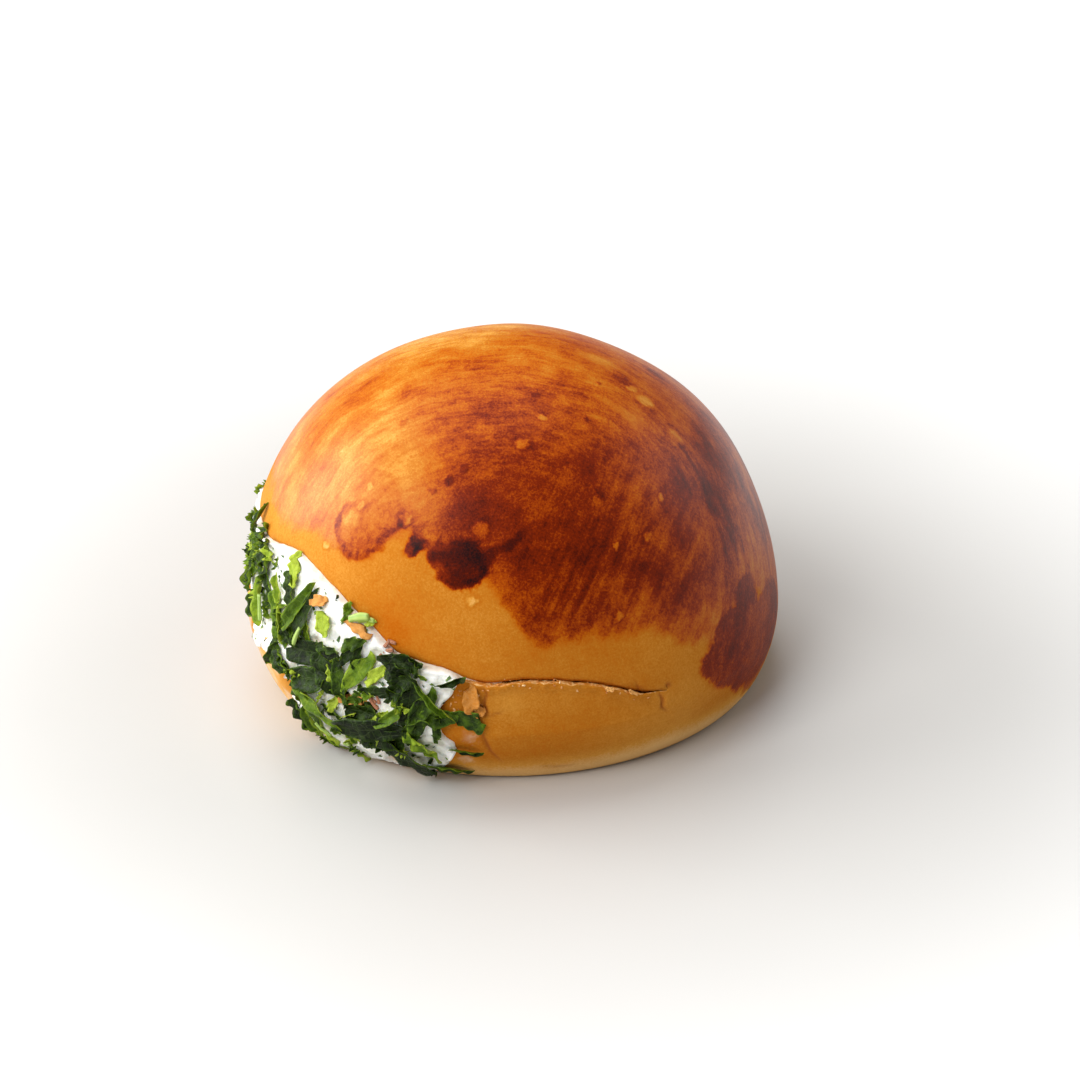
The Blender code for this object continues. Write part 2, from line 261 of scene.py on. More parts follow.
    def inside_cut(self, azimuth: Array, reach: float) -> Array:
        """A share that rises from 0 at the two ends of the slit to 1 at a reach in degrees from them."""
        start, end = self.cut_ends
        return eased(np.minimum(azimuth - start, end - azimuth) / reach)

    def upper_lip(self, azimuth: Array) -> Array:
        """The height of the upper lip of the cut, a little uneven."""
        uneven = self.lip_ragged * self._lip_noise(azimuth, self.lip_ragged_size, self.upper_lip_row)
        return self.lip.at(azimuth) * MM + uneven * self.inside_cut(azimuth, self.slit_taper)

    def lower_lip(self, azimuth: Array) -> Array:
        """The lower lip of the cut: close under the upper one along the slit, far below it in the mouth.

        Args:
            azimuth: In degrees.

        Returns:
            The height at each azimuth.
        """
        from_centre = np.abs(azimuth - self.mouth_centre) / self.mouth_half_span
        gape = self.mouth_gape * eased(self.mouth_fullness * (1.0 - from_centre))
        chips = self.chip_depth * np.maximum(self._lip_noise(azimuth, self.chip_size, 0.0), 0.0)
        slit = (self.slit_gap + chips) * self.inside_cut(azimuth, self.slit_taper)
        return self.upper_lip(azimuth) - slit - gape

    def hinge(self, azimuth: Array) -> Array:
        """The hinge, a chord between the two ends of the slit, which rises a little in its middle.

        Args:
            azimuth: In degrees.

        Returns:
            The point of the hinge that the wall of the cut runs to from each azimuth.
        """
        ends = np.array(self.cut_ends)
        start, end = self.on_skin(ends, self.upper_lip(ends) - self.slit_gap, -self.slit_end_depth)
        share = (azimuth - ends[0]) / (ends[1] - ends[0])
        points = mix(start, end, share[..., None])
        points[..., 2] = mix(points[..., 2], self.hinge_height, np.sin(math.pi * share))
        return points

    def cut_wall(
        self, azimuth: Array, depth: Array, side: int, out: Number = 0.0, gap: float = 0.0,
    ) -> Array:
        """Points on a wall of the cut.

        Args:
            azimuth: In degrees.
            depth: From 0 at the skin to 1 at the hinge.
            side: 0 for the lower wall, 1 for the upper one.
            out: How far the wall's edge stands out from the skin.
            gap: How far the points stay clear of the wall.

        Returns:
            An array of points.
        """
        azimuth, depth = np.broadcast_arrays(azimuth, depth)
        lips = (self.lower_lip(azimuth), self.upper_lip(azimuth))
        skin = self.on_skin(azimuth, lips[side], out)
        end = self.hinge(azimuth)
        middle = mix(0.5 * (lips[0] + lips[1]), end[..., 2], depth)
        wedge = mix(0.5 * (lips[1] - lips[0]), 0.5 * self.hinge_gap, depth)
        pocket = self.pocket_depth * np.sin(math.pi * depth) * eased(depth / self.pocket_start)
        half = np.maximum(wedge, 0.5 * self.slit_gap + pocket)
        points = mix(skin, end, depth[..., None])
        points[..., 2] = middle + np.maximum(half - gap, self.least_open * half) * (2 * side - 1)
        return points

    def arc(self, azimuth: Array, centre: float) -> Array:
        """How far an azimuth lies from another, in millimetres along the bun's side."""
        return np.radians(azimuth - centre) * self.radius / MM


FORM = BunForm()


def spot(azimuth: float, height: float) -> Array:
    """The point of the skin at an azimuth and a height in millimetres, in millimetres."""
    return FORM.placed(azimuth, FORM.skin_radius(np.array(height * MM)), height * MM) / MM


def linear(red: int, green: int, blue: int) -> Colour:
    """A colour picked on a screen, from 0 to 255, as the linear values that a shader reads."""
    shares = [value / 255.0 for value in (red, green, blue)]
    return (*[s / 12.92 if s <= 0.04045 else ((s + 0.055) / 1.055) ** 2.4 for s in shares], 1.0)


class Value:
    """A node's output whose values are combined with the usual signs, which add Math nodes."""

    def __init__(self, maker: "NodeMaker", socket: bpy.types.NodeSocket | None) -> None:
        """Keeps the socket and the maker of the tree that it is in."""
        self.maker = maker
        self.socket = socket

    def other(self, key: int | str) -> "Value":
        """Another output of the same node."""
        return Value(self.maker, self.maker.socket(self.socket.node.outputs, key))

    def maths(self, operation: str, *values: "Value | float", clamp: bool = False) -> "Value":
        """A Math node on this value and others."""
        inputs = dict(enumerate((self, *values)))
        return self.maker.node("ShaderNodeMath", {"operation": operation, "use_clamp": clamp}, inputs)

    def __add__(self, other: "Value | float") -> "Value":
        """The sum."""
        return self.maths("ADD", other)

    __radd__ = __add__

    def __mul__(self, other: "Value | float") -> "Value":
        """The product."""
        return self.maths("MULTIPLY", other)

    __rmul__ = __mul__

    def __sub__(self, other: "Value | float") -> "Value":
        """The difference."""
        return self.maths("SUBTRACT", other)

    def __rsub__(self, other: float) -> "Value":
        """The difference, from a number."""
        return self.maker.node("ShaderNodeMath", {"operation": "SUBTRACT"}, {0: other, 1: self})

    def __truediv__(self, other: "Value | float") -> "Value":
        """The quotient."""
        return self.maths("DIVIDE", other)

    def __pow__(self, other: float) -> "Value":
        """The power."""
        return self.maths("POWER", other)

    def __abs__(self) -> "Value":
        """The value without its sign."""
        return self.maths("ABSOLUTE")

    def clamped(self) -> "Value":
        """The value kept from 0 to 1."""
        return self.maths("ADD", 0.0, clamp=True)

    def at_least(self, other: "Value | float") -> "Value":
        """The larger of two values."""
        return self.maths("MAXIMUM", other)

    def merged(self, other: "Value", softness: float) -> "Value":
        """The smaller of two distances, with a soft join."""
        return self.maths("SMOOTH_MIN", other, softness)

    def ramp(self, low: float, high: float) -> "Value":
        """A gentle step from 0 at one value to 1 at another."""
        settings = {"interpolation_type": "SMOOTHSTEP", "clamp": True}
        return self.maker.node("ShaderNodeMapRange", settings, {0: self, 1: low, 2: high, 3: 0.0, 4: 1.0})

    def inside(self, low: float, high: float) -> "Value":
        """A gentle step from 1 at one value down to 0 at another."""
        return 1.0 - self.ramp(low, high)


class NodeMaker:
    """A node tree, whose nodes all come from one method."""

    def __init__(self, tree: bpy.types.NodeTree) -> None:
        """Keeps the tree."""
        self.tree = tree

    def node(
        self, kind: str, settings: dict[str, object] | None = None,
        inputs: dict[int | str, object] | None = None, output: int | str = 0,
    ) -> Value:
        """Adds a node, sets it up, and links or fills its sockets.

        Args:
            kind: The node's type.
            settings: Its settings. A ramp's are under "stops", as (place, colour) pairs.
            inputs: Values or links, by the socket's number, name or identifier.
            output: The output that is wanted, named the same way.

        Returns:
            The wanted output.
        """
        node = self.tree.nodes.new(kind)
        for name, value in (settings or {}).items():
            if name == "stops":
                self._set_stops(node.color_ramp, value)
            else:
                setattr(node, name, value)
        for key, value in (inputs or {}).items():
            target = self.socket(node.inputs, key)
            if isinstance(value, Value):
                self.tree.links.new(value.socket, target)
            else:
                target.default_value = value
        return Value(self, self.socket(node.outputs, output) if len(node.outputs) else None)

    @staticmethod
    def socket(sockets: bpy.types.bpy_prop_collection, key: int | str) -> bpy.types.NodeSocket:
        """The socket with a number, or else with an identifier or a name."""
        by_identifier = {socket.identifier: socket for socket in sockets}
        return sockets[key] if isinstance(key, int) else by_identifier.get(key) or sockets[key]

    @staticmethod
    def _set_stops(ramp: bpy.types.ColorRamp, stops: Stops) -> None:
        """Gives a ramp its colours.

        Args:
            ramp: The ramp, with its first two colours still in place.
            stops: The wanted (place, colour) pairs.
        """
        while len(ramp.elements) < len(stops):
            ramp.elements.new(1.0)
        for element, (place, colour) in zip(ramp.elements, stops):
            element.position = place
            element.color = colour


class Paint(NodeMaker):
    """One material and the nodes that colour it."""

    def __init__(self, name: str) -> None:
        """Starts a material with an empty tree.

        Args:
            name: The material's name.
        """
        self.material = bpy.data.materials.new(name)
        self.material.use_nodes = True
        super().__init__(self.material.node_tree)
        self.tree.nodes.clear()

    def place(self) -> Value:
        """The place on the object, in millimetres."""
        return self.scaled(self.node("ShaderNodeTexCoord", output="Object"), 1.0 / MM)

    def across(self, axis: str) -> Value:
        """How far along the leaf or rod the place lies (X), or how far across it (Y), from 0 to 1."""
        mapped = self.node("ShaderNodeUVMap", {"uv_map": "across"}, None, "UV")
        return self.node("ShaderNodeSeparateXYZ", None, {0: mapped}, axis)

    def vector(self, operation: str, first: object, second: object, output: int | str = 0) -> Value:
        """A Vector Math node on two vectors."""
        return self.node("ShaderNodeVectorMath", {"operation": operation}, {0: first, 1: second}, output)

    def scaled(self, vector: Value, scale: float) -> Value:
        """A vector made longer or shorter."""
        return self.node("ShaderNodeVectorMath", {"operation": "SCALE"}, {0: vector, "Scale": scale})

    def distance(self, place: Value, point: Array) -> Value:
        """The distance of the place from a fixed point, in millimetres."""
        return self.vector("DISTANCE", place, tuple(float(x) for x in point), "Value")

    def noise(self, place: Value, size: float, detail: float = 2.0, roughness: float = 0.5) -> Value:
        """Noise from 0 to 1 whose lumps have a size in millimetres."""
        inputs = {"Vector": place, "Scale": 1.0 / size, "Detail": detail, "Roughness": roughness}
        return self.node("ShaderNodeTexNoise", None, inputs, "Fac")

    def cloud(self, kind: "Cloud", place: Value) -> Value:
        """Noise of a kind, from -0.5 to 0.5."""
        return self.noise(place, kind.size, kind.detail, kind.roughness) - 0.5

    def attribute(self, name: str) -> Value:
        """A number stored on the mesh."""
        return self.node("ShaderNodeAttribute", {"attribute_name": name}, None, "Fac")

    def colours(self, value: Value, stops: Stops) -> Value:
        """The colours that a ramp gives to a value."""
        return self.node("ShaderNodeValToRGB", {"stops": stops}, {"Fac": value}, "Color")

    def blend(self, factor: Value | float, first: Value | Colour, second: Value | Colour) -> Value:
        """Two colours mixed by a factor.

        Args:
            factor: From 0, the first colour alone, to 1, the second alone.
            first: The first colour.
            second: The second colour.

        Returns:
            The mixed colour.
        """
        settings = {"data_type": "RGBA", "blend_type": "MIX", "clamp_factor": True}
        inputs = {"Factor_Float": factor, "A_Color": first, "B_Color": second}
        return self.node("ShaderNodeMix", settings, inputs, "Result_Color")

    def bump(self, height: Value, reach: float, strength: float) -> Value:
        """A normal bent by a height whose full range is the reach in millimetres."""
        inputs = {"Height": height, "Distance": reach * MM, "Strength": strength}
        return self.node("ShaderNodeBump", None, inputs)

    def finish(self, **inputs: object) -> Material:
        """Closes the tree with the main shader.

        Args:
            inputs: The shader's values or links, by socket name with spaces left as underscores.

        Returns:
            The finished material.
        """
        named = {name.replace("_", " "): value for name, value in inputs.items()}
        shader = self.node("ShaderNodeBsdfPrincipled", None, named, "BSDF")
        self.node("ShaderNodeOutputMaterial", None, {"Surface": shader})
        return self.material


def mesh_piece(
    name: str, points: Array, faces: list[list[int]], material: Material,
    attributes: dict[str, Array] | None = None, uv: Array | None = None,
) -> Piece:
    """A smooth mesh object from points and faces.

    Args:
        name: The object's name.
        points: The vertices, in metres.
        faces: Lists of vertex numbers.
        material: Its finish.
        attributes: Numbers for each vertex, by name.
        uv: A pair for each vertex.

    Returns:
        The object, linked to the scene.
    """
    mesh = bpy.data.meshes.new(name)
    mesh.from_pydata(points.reshape(-1, 3).tolist(), [], faces)
    mesh.materials.append(material)
    for label, values in (attributes or {}).items():
        layer = mesh.attributes.new(label, "FLOAT", "POINT")
        layer.data.foreach_set("value", np.ravel(values).astype(np.float32))
    if uv is not None:
        corners = np.empty(len(mesh.loops), np.int32)
        mesh.loops.foreach_get("vertex_index", corners)
        mesh.uv_layers.new(name="across").data.foreach_set("uv", uv.reshape(-1, 2)[corners].ravel())
    mesh.shade_smooth()
    obj = bpy.data.objects.new(name, mesh)
    bpy.context.scene.collection.objects.link(obj)
    return obj


def tidy_mesh(obj: Piece) -> None:
    """Drops the unused points of a mesh and turns its faces outwards.

    Args:
        obj: The mesh's object.
    """
    shape = bmesh.new()
    shape.from_mesh(obj.data)
    loose = [vert for vert in shape.verts if not vert.link_faces]
    bmesh.ops.delete(shape, geom=loose, context="VERTS")
    bmesh.ops.recalc_face_normals(shape, faces=shape.faces[:])
    shape.to_mesh(obj.data)
    shape.free()


def dress(obj: Piece, stand: Stand) -> Piece:
    """Rides a piece on the object's one body, in the place of a node.

    Args:
        obj: The piece.
        stand: The node that it stands for, with the material slot.

    Returns:
        The same piece.
    """
    node, slot = stand.value
    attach(obj, "root")
    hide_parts(node)
    LOG.info("%s: %d faces", obj.name, len(obj.data.polygons))
    return obj


def joined_faces(index: Array, around: bool) -> list[list[int]]:
    """The faces between the rows of a grid of vertex numbers.

    Args:
        index: Vertex numbers, where a number that repeats makes a face with fewer sides or none.
        around: Whether the last column joins the first.

    Returns:
        Lists of vertex numbers, in order round each face.
    """
    after = np.roll(index, -1, 1) if around else index[:, 1:]
    before = index if around else index[:, :-1]
    faces = []
    for face in np.stack([before[:-1], before[1:], after[1:], after[:-1]], -1).reshape(-1, 4).tolist():
        corners = list(dict.fromkeys(face))
        if len(corners) > 2:
            faces.append(corners)
    return faces


def spots_of(obj: Piece) -> tuple[Array, Array]:
    """The places of an object's vertices round the bun.

    Args:
        obj: The object.

    Returns:
        Their azimuths in degrees and their heights in millimetres.
    """
    places = np.empty(3 * len(obj.data.vertices), np.float32)
    obj.data.vertices.foreach_get("co", places)
    across, along, height = places.reshape(-1, 3).T
    return np.degrees(np.arctan2(along, across)) % 360.0, height / MM


def shell_faces(inner: Array, outer: Array, first: int) -> list[list[int]]:
    """The faces of a closed shell between two grids of points.

    Args:
        inner: The grid of the inner face.
        outer: The grid of the outer face, whose points are numbered after the inner one's.
        first: The number of the first point.

    Returns:
        Lists of vertex numbers.
    """
    rows, columns = inner.shape[:2]
    below = first + np.arange(rows * columns).reshape(rows, columns)
    above = below + outer[..., 0].size
    ring = [np.concatenate([g[0], g[1:, -1], g[-1, -2::-1], g[-2:0:-1, 0]]) for g in (below, above)]
    edge = joined_faces(np.array(ring), True)
    return joined_faces(below[:, ::-1], False) + joined_faces(above, False) + edge


def each(kind: type, *rows: tuple) -> tuple:
    """One object of a kind for each row of its fields."""
    return tuple(kind(*row) for row in rows)


def unit_grid(along: int, across: int) -> Array:
    """The places of a grid's points along and across it, each from 0 to 1."""
    ways = np.meshgrid(np.linspace(0, 1, across), np.linspace(0, 1, along))
    return np.stack(ways, -1)[..., ::-1]


@dataclass(frozen=True)
class Drip:
    """A round run of egg wash, a bubble or a smear on the crust: its place, and its radius in mm."""

    azimuth: float
    height: float
    radius: float


@dataclass(frozen=True)
class Browning:
    """A broad place of the crust that baked darker or paler; two pale ones under the slit are painted
    highlight instead.
    """

    azimuth: float
    height: float
    reach: float
    share: float


@dataclass(frozen=True)
class Pool:
    """Drips that ran together, with all lengths in millimetres.

    Softness is how softly the drips join, and sway and fray are how far the outline bends and frays. The
    edge gives where the pool is full and where it ends, from the outline outwards. The rim lies inset from
    the outline, and its reach gives where it is full and where it ends, to either side.
    """

    drips: tuple[Drip, ...]
    softness: float
    sway: float = 0.0
    fray: float = 0.0
    edge: Pair = (-0.4, 0.3)
    inset: float = 0.0
    rim_reach: Pair = (0.2, 1.3)
    uneven: bool = True


@dataclass(frozen=True)
class Cloud:
    """A kind of noise: the size of its lumps in millimetres, its detail and how rough that is."""

    size: float
    detail: float
    roughness: float = 0.5


@dataclass(frozen=True)
class BakeShares:
    """How much each cause adds to the crust's browning, on a scale from 0, pale, to 1, burnt."""

    bare: float = 0.36
    washed: float = 0.15
    low_patch: float = 0.17
    patch_calm: float = 0.5
    broad_streak: float = 0.21
    fine_streak: float = 0.14
    washed_mottle: float = 0.38
    washed_blotch: float = 0.20
    mottle: float = 0.16
    grain: float = 0.24
    washed_grain: float = 0.12
    speckle: float = 0.10
    washed_speckle: float = 0.08
    pale_pool: float = 0.06
    pale_rim: float = 0.03
    low_pale_rim: float = 0.13
    dark_rim: float = 0.16
    burnt: float = 0.34
    blister: float = 0.14
    bubble_rim: float = 0.07
    bubble: float = 0.17
    bubble_mottle: float = 0.25
    # Paler towards the foot: partly a paler bake, partly painted light against the shade where the foot
    # curves under.
    foot: float = 0.36


@dataclass(frozen=True)
class DentShares:
    """How much each cause adds to the height of the crust's fine relief."""

    swell: float = 0.5
    grain: float = 0.62
    washed_grain: float = 0.30
    streak: float = 0.25
    bubble: float = 0.5
    blister: float = 0.7
    torn: float = 2.5


@dataclass(frozen=True)
class CrustFinish:
    """Egg-washed crust: brush streaks round a centre, dark drips, pale bubbles and a matt unwashed side."""

    shares: BakeShares = BakeShares()
    dents: DentShares = DentShares()
    wobble: Cloud = Cloud(3.5, 3.0, 0.6)
    ragged: Cloud = Cloud(0.9, 2.0, 0.6)
    mottle: Cloud = Cloud(9.0, 5.0, 0.62)
    grain: Cloud = Cloud(0.42, 2.0, 0.7)
    speckle: Cloud = Cloud(1.3, 3.0, 0.7)
    blotch: Cloud = Cloud(3.6, 4.0, 0.6)
    sway: Cloud = Cloud(12.0, 2.0)
    brush: Cloud = Cloud(1.0, 2.0, 0.6)
    swell: Cloud = Cloud(2.2, 2.0)
    crumb: Cloud = Cloud(0.7, 3.0)
    bends: tuple[Pair, ...] = ((2.6, 2.4), (0.9, 0.9))
    streak_centre: Pair = (268.0, 39.0)
    streak_middle: float = 18.0
    streak_widths: Pair = (3.0, 0.9)
    streak_lengths: Pair = (4.0, 6.0)
    streak_swing: float = 2.0
    streak_shown: Pair = (0.25, 0.70)
    sway_reach: float = 5.0
    stroke_across: tuple[float, float, float] = (0.90, -0.22, -0.38)
    stroke_centre: Pair = (302.0, 45.0)
    stroke_reach: Pair = (14.85, 27.0)
    stroke_widths: Pair = (2.4, 0.9)
    stroke_swing: float = 1.5
    stroke_sway: float = 0.22
    stroke_length: float = 0.07
    wash_sway: float = 5.5
    wash_streak: float = 1.1
    wash_edge: Pair = (-1.7, 2.2)
    rim_heights: Pair = (50.5, 54.5)
    foot_heights: Pair = (0.5, 9.0)
    left_sheen: Browning = Browning(200, 50, 22, 0.70)
    right_sheen: Browning = Browning(350, 50, 28, 0.75)
    least_sheen: float = 0.02
    pale_pool: Pool = Pool(each(
        Drip, (229, 49.6, 6), (236.5, 52.4, 3.4), (230, 55, 5),
    ), 1.6, fray=0.4, inset=0.7)
    dark_pool: Pool = Pool(each(
        Drip,
        (258.2, 48.3, 6), (245, 48.6, 2), (249, 51.6, 3.2), (241.5, 52.7, 1.9), (256, 55, 7), (265, 56, 9),
    ), 1.3, fray=0.5, inset=0.6, rim_reach=(0.2, 1.2))
    burnt: Pool = Pool(each(
        Drip, (259, 47.3, 4.9), (253, 48.4, 2), (246, 49, 1.9),
    ), 1.5, 1.5, 0.8, edge=(-1.9, 0.7))
    smeared: Pool = Pool(each(
        Drip,
        (197, 13, 3.4), (203, 10, 3.6), (207, 14.5, 3), (211, 7, 2.8), (190, 16, 3), (260, 13.5, 1.6),
        (258.5, 7, 1.4),
    ), 2.0, fray=2.4, edge=(-2.0, 0.6))
    low_patch: Pool = Pool(each(
        Drip,
        (322, 19, 4.6), (326.5, 15.5, 4.6), (327, 23, 4.8), (333, 12.5, 5.6), (334, 20, 7), (340, 8, 6),
        (346, 16, 9), (336, 27, 4.4),
    ), 2.0, 5.0, 0.7, edge=(-1.0, 0.8), uneven=False)
    bubbles: tuple[Drip, ...] = each(
        Drip,
        (280, 63.6, 1.3), (293.5, 65.9, 0.9), (349.5, 62, 1.9), (353.5, 63.8, 0.9), (343.5, 57.1, 1.8),
        (311, 47.7, 1), (321, 51.8, 0.7), (300.5, 47.7, 0.6), (226.5, 55.8, 0.9), (263, 52.6, 1.5),
        (241.5, 52.8, 1.1), (225, 50.6, 1.8), (226.5, 52.8, 0.9), (261.5, 41.4, 1), (220.5, 44.4, 0.7),
        (297, 35.6, 1),
    )
    bubble_softness: float = 0.45
    bubble_rim: float = 1.5
    bubble_rim_softness: float = 0.4
    blisters: tuple[Drip, ...] = each(
        Drip,
        (221, 64, 0.8), (298, 67.7, 0.9), (251.5, 59.1, 0.9), (256, 60.9, 0.8), (302, 55.5, 1.1),
        (316, 64.4, 0.6), (344, 66.3, 0.6), (247, 57.6, 0.7),
    )
    blister_softness: float = 0.5
    blister_dome: float = 0.6
    broad: tuple[Browning, ...] = each(
        Browning,
        (264, 56, 9, 0.14), (290, 56, 13, 0.12), (292, 46, 11, 0.13), (277, 45, 9, 0.12),
        (336, 55, 9, 0.12), (312, 40, 13, 0.10), (333, 38, 14, 0.08), (0, 40, 20, 0.12),
        (310, 62, 10, 0.07), (258, 52, 6, 0.11), (265, 65.5, 9, 0.11), (345, 47, 10, 0.07),
    )
    pale: tuple[Browning, ...] = each(
        Browning,
        (200, 50, 22, -0.13), (222, 60, 13, -0.13), (140, 63, 20, -0.20), (80, 67, 12, -0.14),
        (262, 38, 9, -0.04), (347, 61, 7, -0.08), (314, 31, 7, -0.06), (243, 33.5, 4, 0.07),
        # Painted highlight: (270, 22) and (282, 21.5) lighten the crust along the top of the ledge under
        # the slit.
        (345, 30, 8, -0.16), (270, 22, 5, -0.10), (282, 21.5, 4, -0.06), (306, 9, 14, -0.12),
        (204, 11, 9, -0.26),
    )
    tones: Stops = (
        (0.00, linear(238, 190, 122)), (0.18, linear(212, 147, 58)), (0.34, linear(190, 115, 28)),
        (0.46, linear(184, 93, 5)), (0.56, linear(164, 67, 2)), (0.68, linear(122, 34, 1)),
        (0.82, linear(82, 18, 2)), (1.00, linear(30, 9, 10)),
    )
    crumb_tones: tuple[Colour, Colour] = (linear(202, 126, 50), linear(238, 192, 126))
    crumb_mix: Pair = (0.35, 0.7)
    # Painted shade: the brown that the creases and the slit's walls are darkened towards, and how far.
    painted_shade_tone: Colour = linear(152, 80, 32)
    painted_shade_share: float = 0.85
    smear_tone: Colour = linear(240, 226, 204)
    smear_share: float = 0.35
    smear_blotch: float = 0.9
    torn_fray: float = 0.5
    torn_edge: Pair = (0.3, 0.7)
    matt: float = 0.60
    washed_gloss: float = 0.18
    grain_matt: float = 0.16
    torn_matt: float = 0.3

    def material(self) -> Material:
        """The material, which reads the attributes "wash" and "torn" of the bun's mesh, and the one that
        holds its painted shade.
        """
        return CrustPaint(self).closed()


class CrustPaint(Paint):
    """The crust's material while it is painted, one cause of browning after another."""

    def __init__(self, plan: CrustFinish) -> None:
        """Starts the material with the values that its layers share.

        Args:
            plan: The finish that is painted.
        """
        super().__init__("egg_washed_crust")
        self.plan = plan
        self.here = self.place()
        self.bent = self._bent()
        self.wobble = self.cloud(plan.wobble, self.here)
        self.ragged = self.cloud(plan.ragged, self.here)
        self.mottle = self.cloud(plan.mottle, self.here)
        self.grain = self.cloud(plan.grain, self.here)
        self.blotch = self.cloud(plan.blotch, self.here)
        self.broad_streak, self.fine_streak = self._streaks()
        self.bubbles = self._marks(plan.bubbles, plan.bubble_softness)
        self.torn = (self.attribute("torn") + self.ragged * plan.torn_fray).ramp(*plan.torn_edge)
        limit = self.attribute("wash") + self.wobble * plan.wash_sway + self.broad_streak * plan.wash_streak
        self.wash = (limit + self.ragged).ramp(*plan.wash_edge)
        self.dark = self._outline(plan.dark_pool)
        self.on_patch = self._outline(plan.low_patch).inside(*plan.low_patch.edge)
        self.coat = self.dark.inside(*plan.dark_pool.edge).at_least(self.wash).at_least(self.on_patch)

    def _bent(self) -> Value:
        """The place shifted a little by noise, which makes round marks uneven.

        Returns:
            The shifted place.
        """
        shifted = self.here
        for size, reach in self.plan.bends:
            inputs = {"Vector": self.here, "Scale": 1.0 / size, "Detail": 1.0}
            cloud = self.node("ShaderNodeTexNoise", None, inputs, "Color")
            away = self.scaled(self.vector("SUBTRACT", cloud, (0.5, 0.5, 0.5)), reach)
            shifted = self.vector("ADD", shifted, away)
        return shifted

    def _outline(self, pool: Pool) -> Value:
        """The outline of drips that ran together.

        Args:
            pool: The drips, and how they join and fray.

        Returns:
            The distance outside the outline, in millimetres, less than 0 inside it.
        """
        place = self.bent if pool.uneven else self.here
        joined = None
        for drip in pool.drips:
            edge = self.distance(place, spot(drip.azimuth, drip.height)) - drip.radius
            joined = joined.merged(edge, pool.softness) if joined else edge
        return joined + self.wobble * pool.sway + self.ragged * pool.fray

    def _rim(self, outline: Value, pool: Pool) -> Value:
        """A mask that is 1 along the rim of a pool."""
        return abs(outline + pool.inset).inside(*pool.rim_reach)

    def _marks(self, marks: tuple[Drip, ...], softness: float) -> Value:
        """Small round marks.

        Args:
            marks: Their places and radii.
            softness: How wide their edge is, as a share of the radius to either side.

        Returns:
            A mask that is 1 on each mark.
        """
        mask = None
        for mark in marks:
            far = self.distance(self.bent, spot(mark.azimuth, mark.height))
            near = far.inside(mark.radius * (1.0 - softness), mark.radius * (1.0 + softness))
            mask = mask.at_least(near) if mask else near
        return mask

    def _patches(self, patches: tuple[Browning, ...]) -> Value:
        """The shares of some broad soft places, each fading with the distance from its centre.

        Args:
            patches: The places.

        Returns:
            Their shares, added up.
        """
        total = None
        for patch in patches:
            far = self.distance(self.here, spot(patch.azimuth, patch.height)) / patch.reach
            share = (far * far * -1.0).maths("EXPONENT") * patch.share
            total = total + share if total else share
        return total

    def _arcs(self, sway: Value) -> list[Value]:
        """Broad and fine brush streaks that run in arcs over the top.

        Args:
            sway: How far the streaks are pushed aside, in millimetres.

        Returns:
            The two kinds of streaks, each from -1 to 1.
        """
        plan = self.plan
        middle = Vector((0.0, 0.0, plan.streak_middle))
        axis = (Vector(spot(*plan.streak_centre)) - middle).normalized()
        first = axis.cross(Vector((0.0, 0.0, 1.0))).normalized()
        away = self.vector("SUBTRACT", self.here, tuple(middle))
        out = self.vector("NORMALIZE", away, (0.0, 0.0, 0.0))
        ways = (first, axis.cross(first), axis)
        parts = [self.vector("DOT_PRODUCT", out, tuple(way), "Value") for way in ways]
        wide = (parts[0] * parts[0] + parts[1] * parts[1]) ** 0.5
        turned = wide.maths("ARCTAN2", parts[2]) * (FORM.radius / MM) + sway
        shown = wide.ramp(*plan.streak_shown)
        arcs = []
        for width, length in zip(plan.streak_widths, plan.streak_lengths):
            around = [part / wide.at_least(0.05) * length for part in parts[:2]]
            inputs = {0: around[0], 1: around[1], 2: turned / width}
            where = self.node("ShaderNodeCombineXYZ", None, inputs)
            arcs.append(self.cloud(plan.brush, where) * plan.streak_swing * shown)
        return arcs

    def _streaks(self) -> list[Value]:
        """Brush streaks: arcs over the top, and straight slanting strokes at the front right.

        Returns:
            The broad and the fine streaks, each from -1 to 1.
        """
        plan = self.plan
        sway = self.cloud(plan.sway, self.here) * plan.sway_reach
        in_strokes = self.distance(self.here, spot(*plan.stroke_centre)).inside(*plan.stroke_reach)
        across = self.vector("DOT_PRODUCT", self.here, plan.stroke_across, "Value")
        across = across + sway * plan.stroke_sway
        along = self.scaled(self.here, plan.stroke_length)
        streaks = []
        for arc, width in zip(self._arcs(sway), plan.stroke_widths):
            line = self.node("ShaderNodeCombineXYZ", None, {0: across / width})
            stroke = self.cloud(plan.brush, self.vector("ADD", line, along)) * plan.stroke_swing
            streaks.append(arc * (1.0 - in_strokes) + stroke * in_strokes)
        return streaks

    def _bake(self) -> Value:
        """The browning of the dough and the wash, with its streaks, mottling and grain.

        Returns:
            How brown the crust is before the marks on it, from 0, pale, to 1, burnt.
        """
        plan, share = self.plan, self.plan.shares
        speckle = self.cloud(plan.speckle, self.here)
        bake = share.bare + self.coat * share.washed + self.coat * self._patches(plan.broad)
        bake = bake + self._patches(plan.pale) + self.on_patch * share.low_patch
        uneven = self.broad_streak * share.broad_streak + self.fine_streak * share.fine_streak
        uneven = uneven + self.mottle * share.washed_mottle + self.blotch * share.washed_blotch
        bake = bake + self.coat * (1.0 - self.on_patch * share.patch_calm) * uneven
        bake = bake + self.mottle * share.mottle
        bake = bake + self.grain * (share.grain + self.coat * share.washed_grain)
        return bake + speckle * (share.speckle + self.coat * share.washed_speckle)

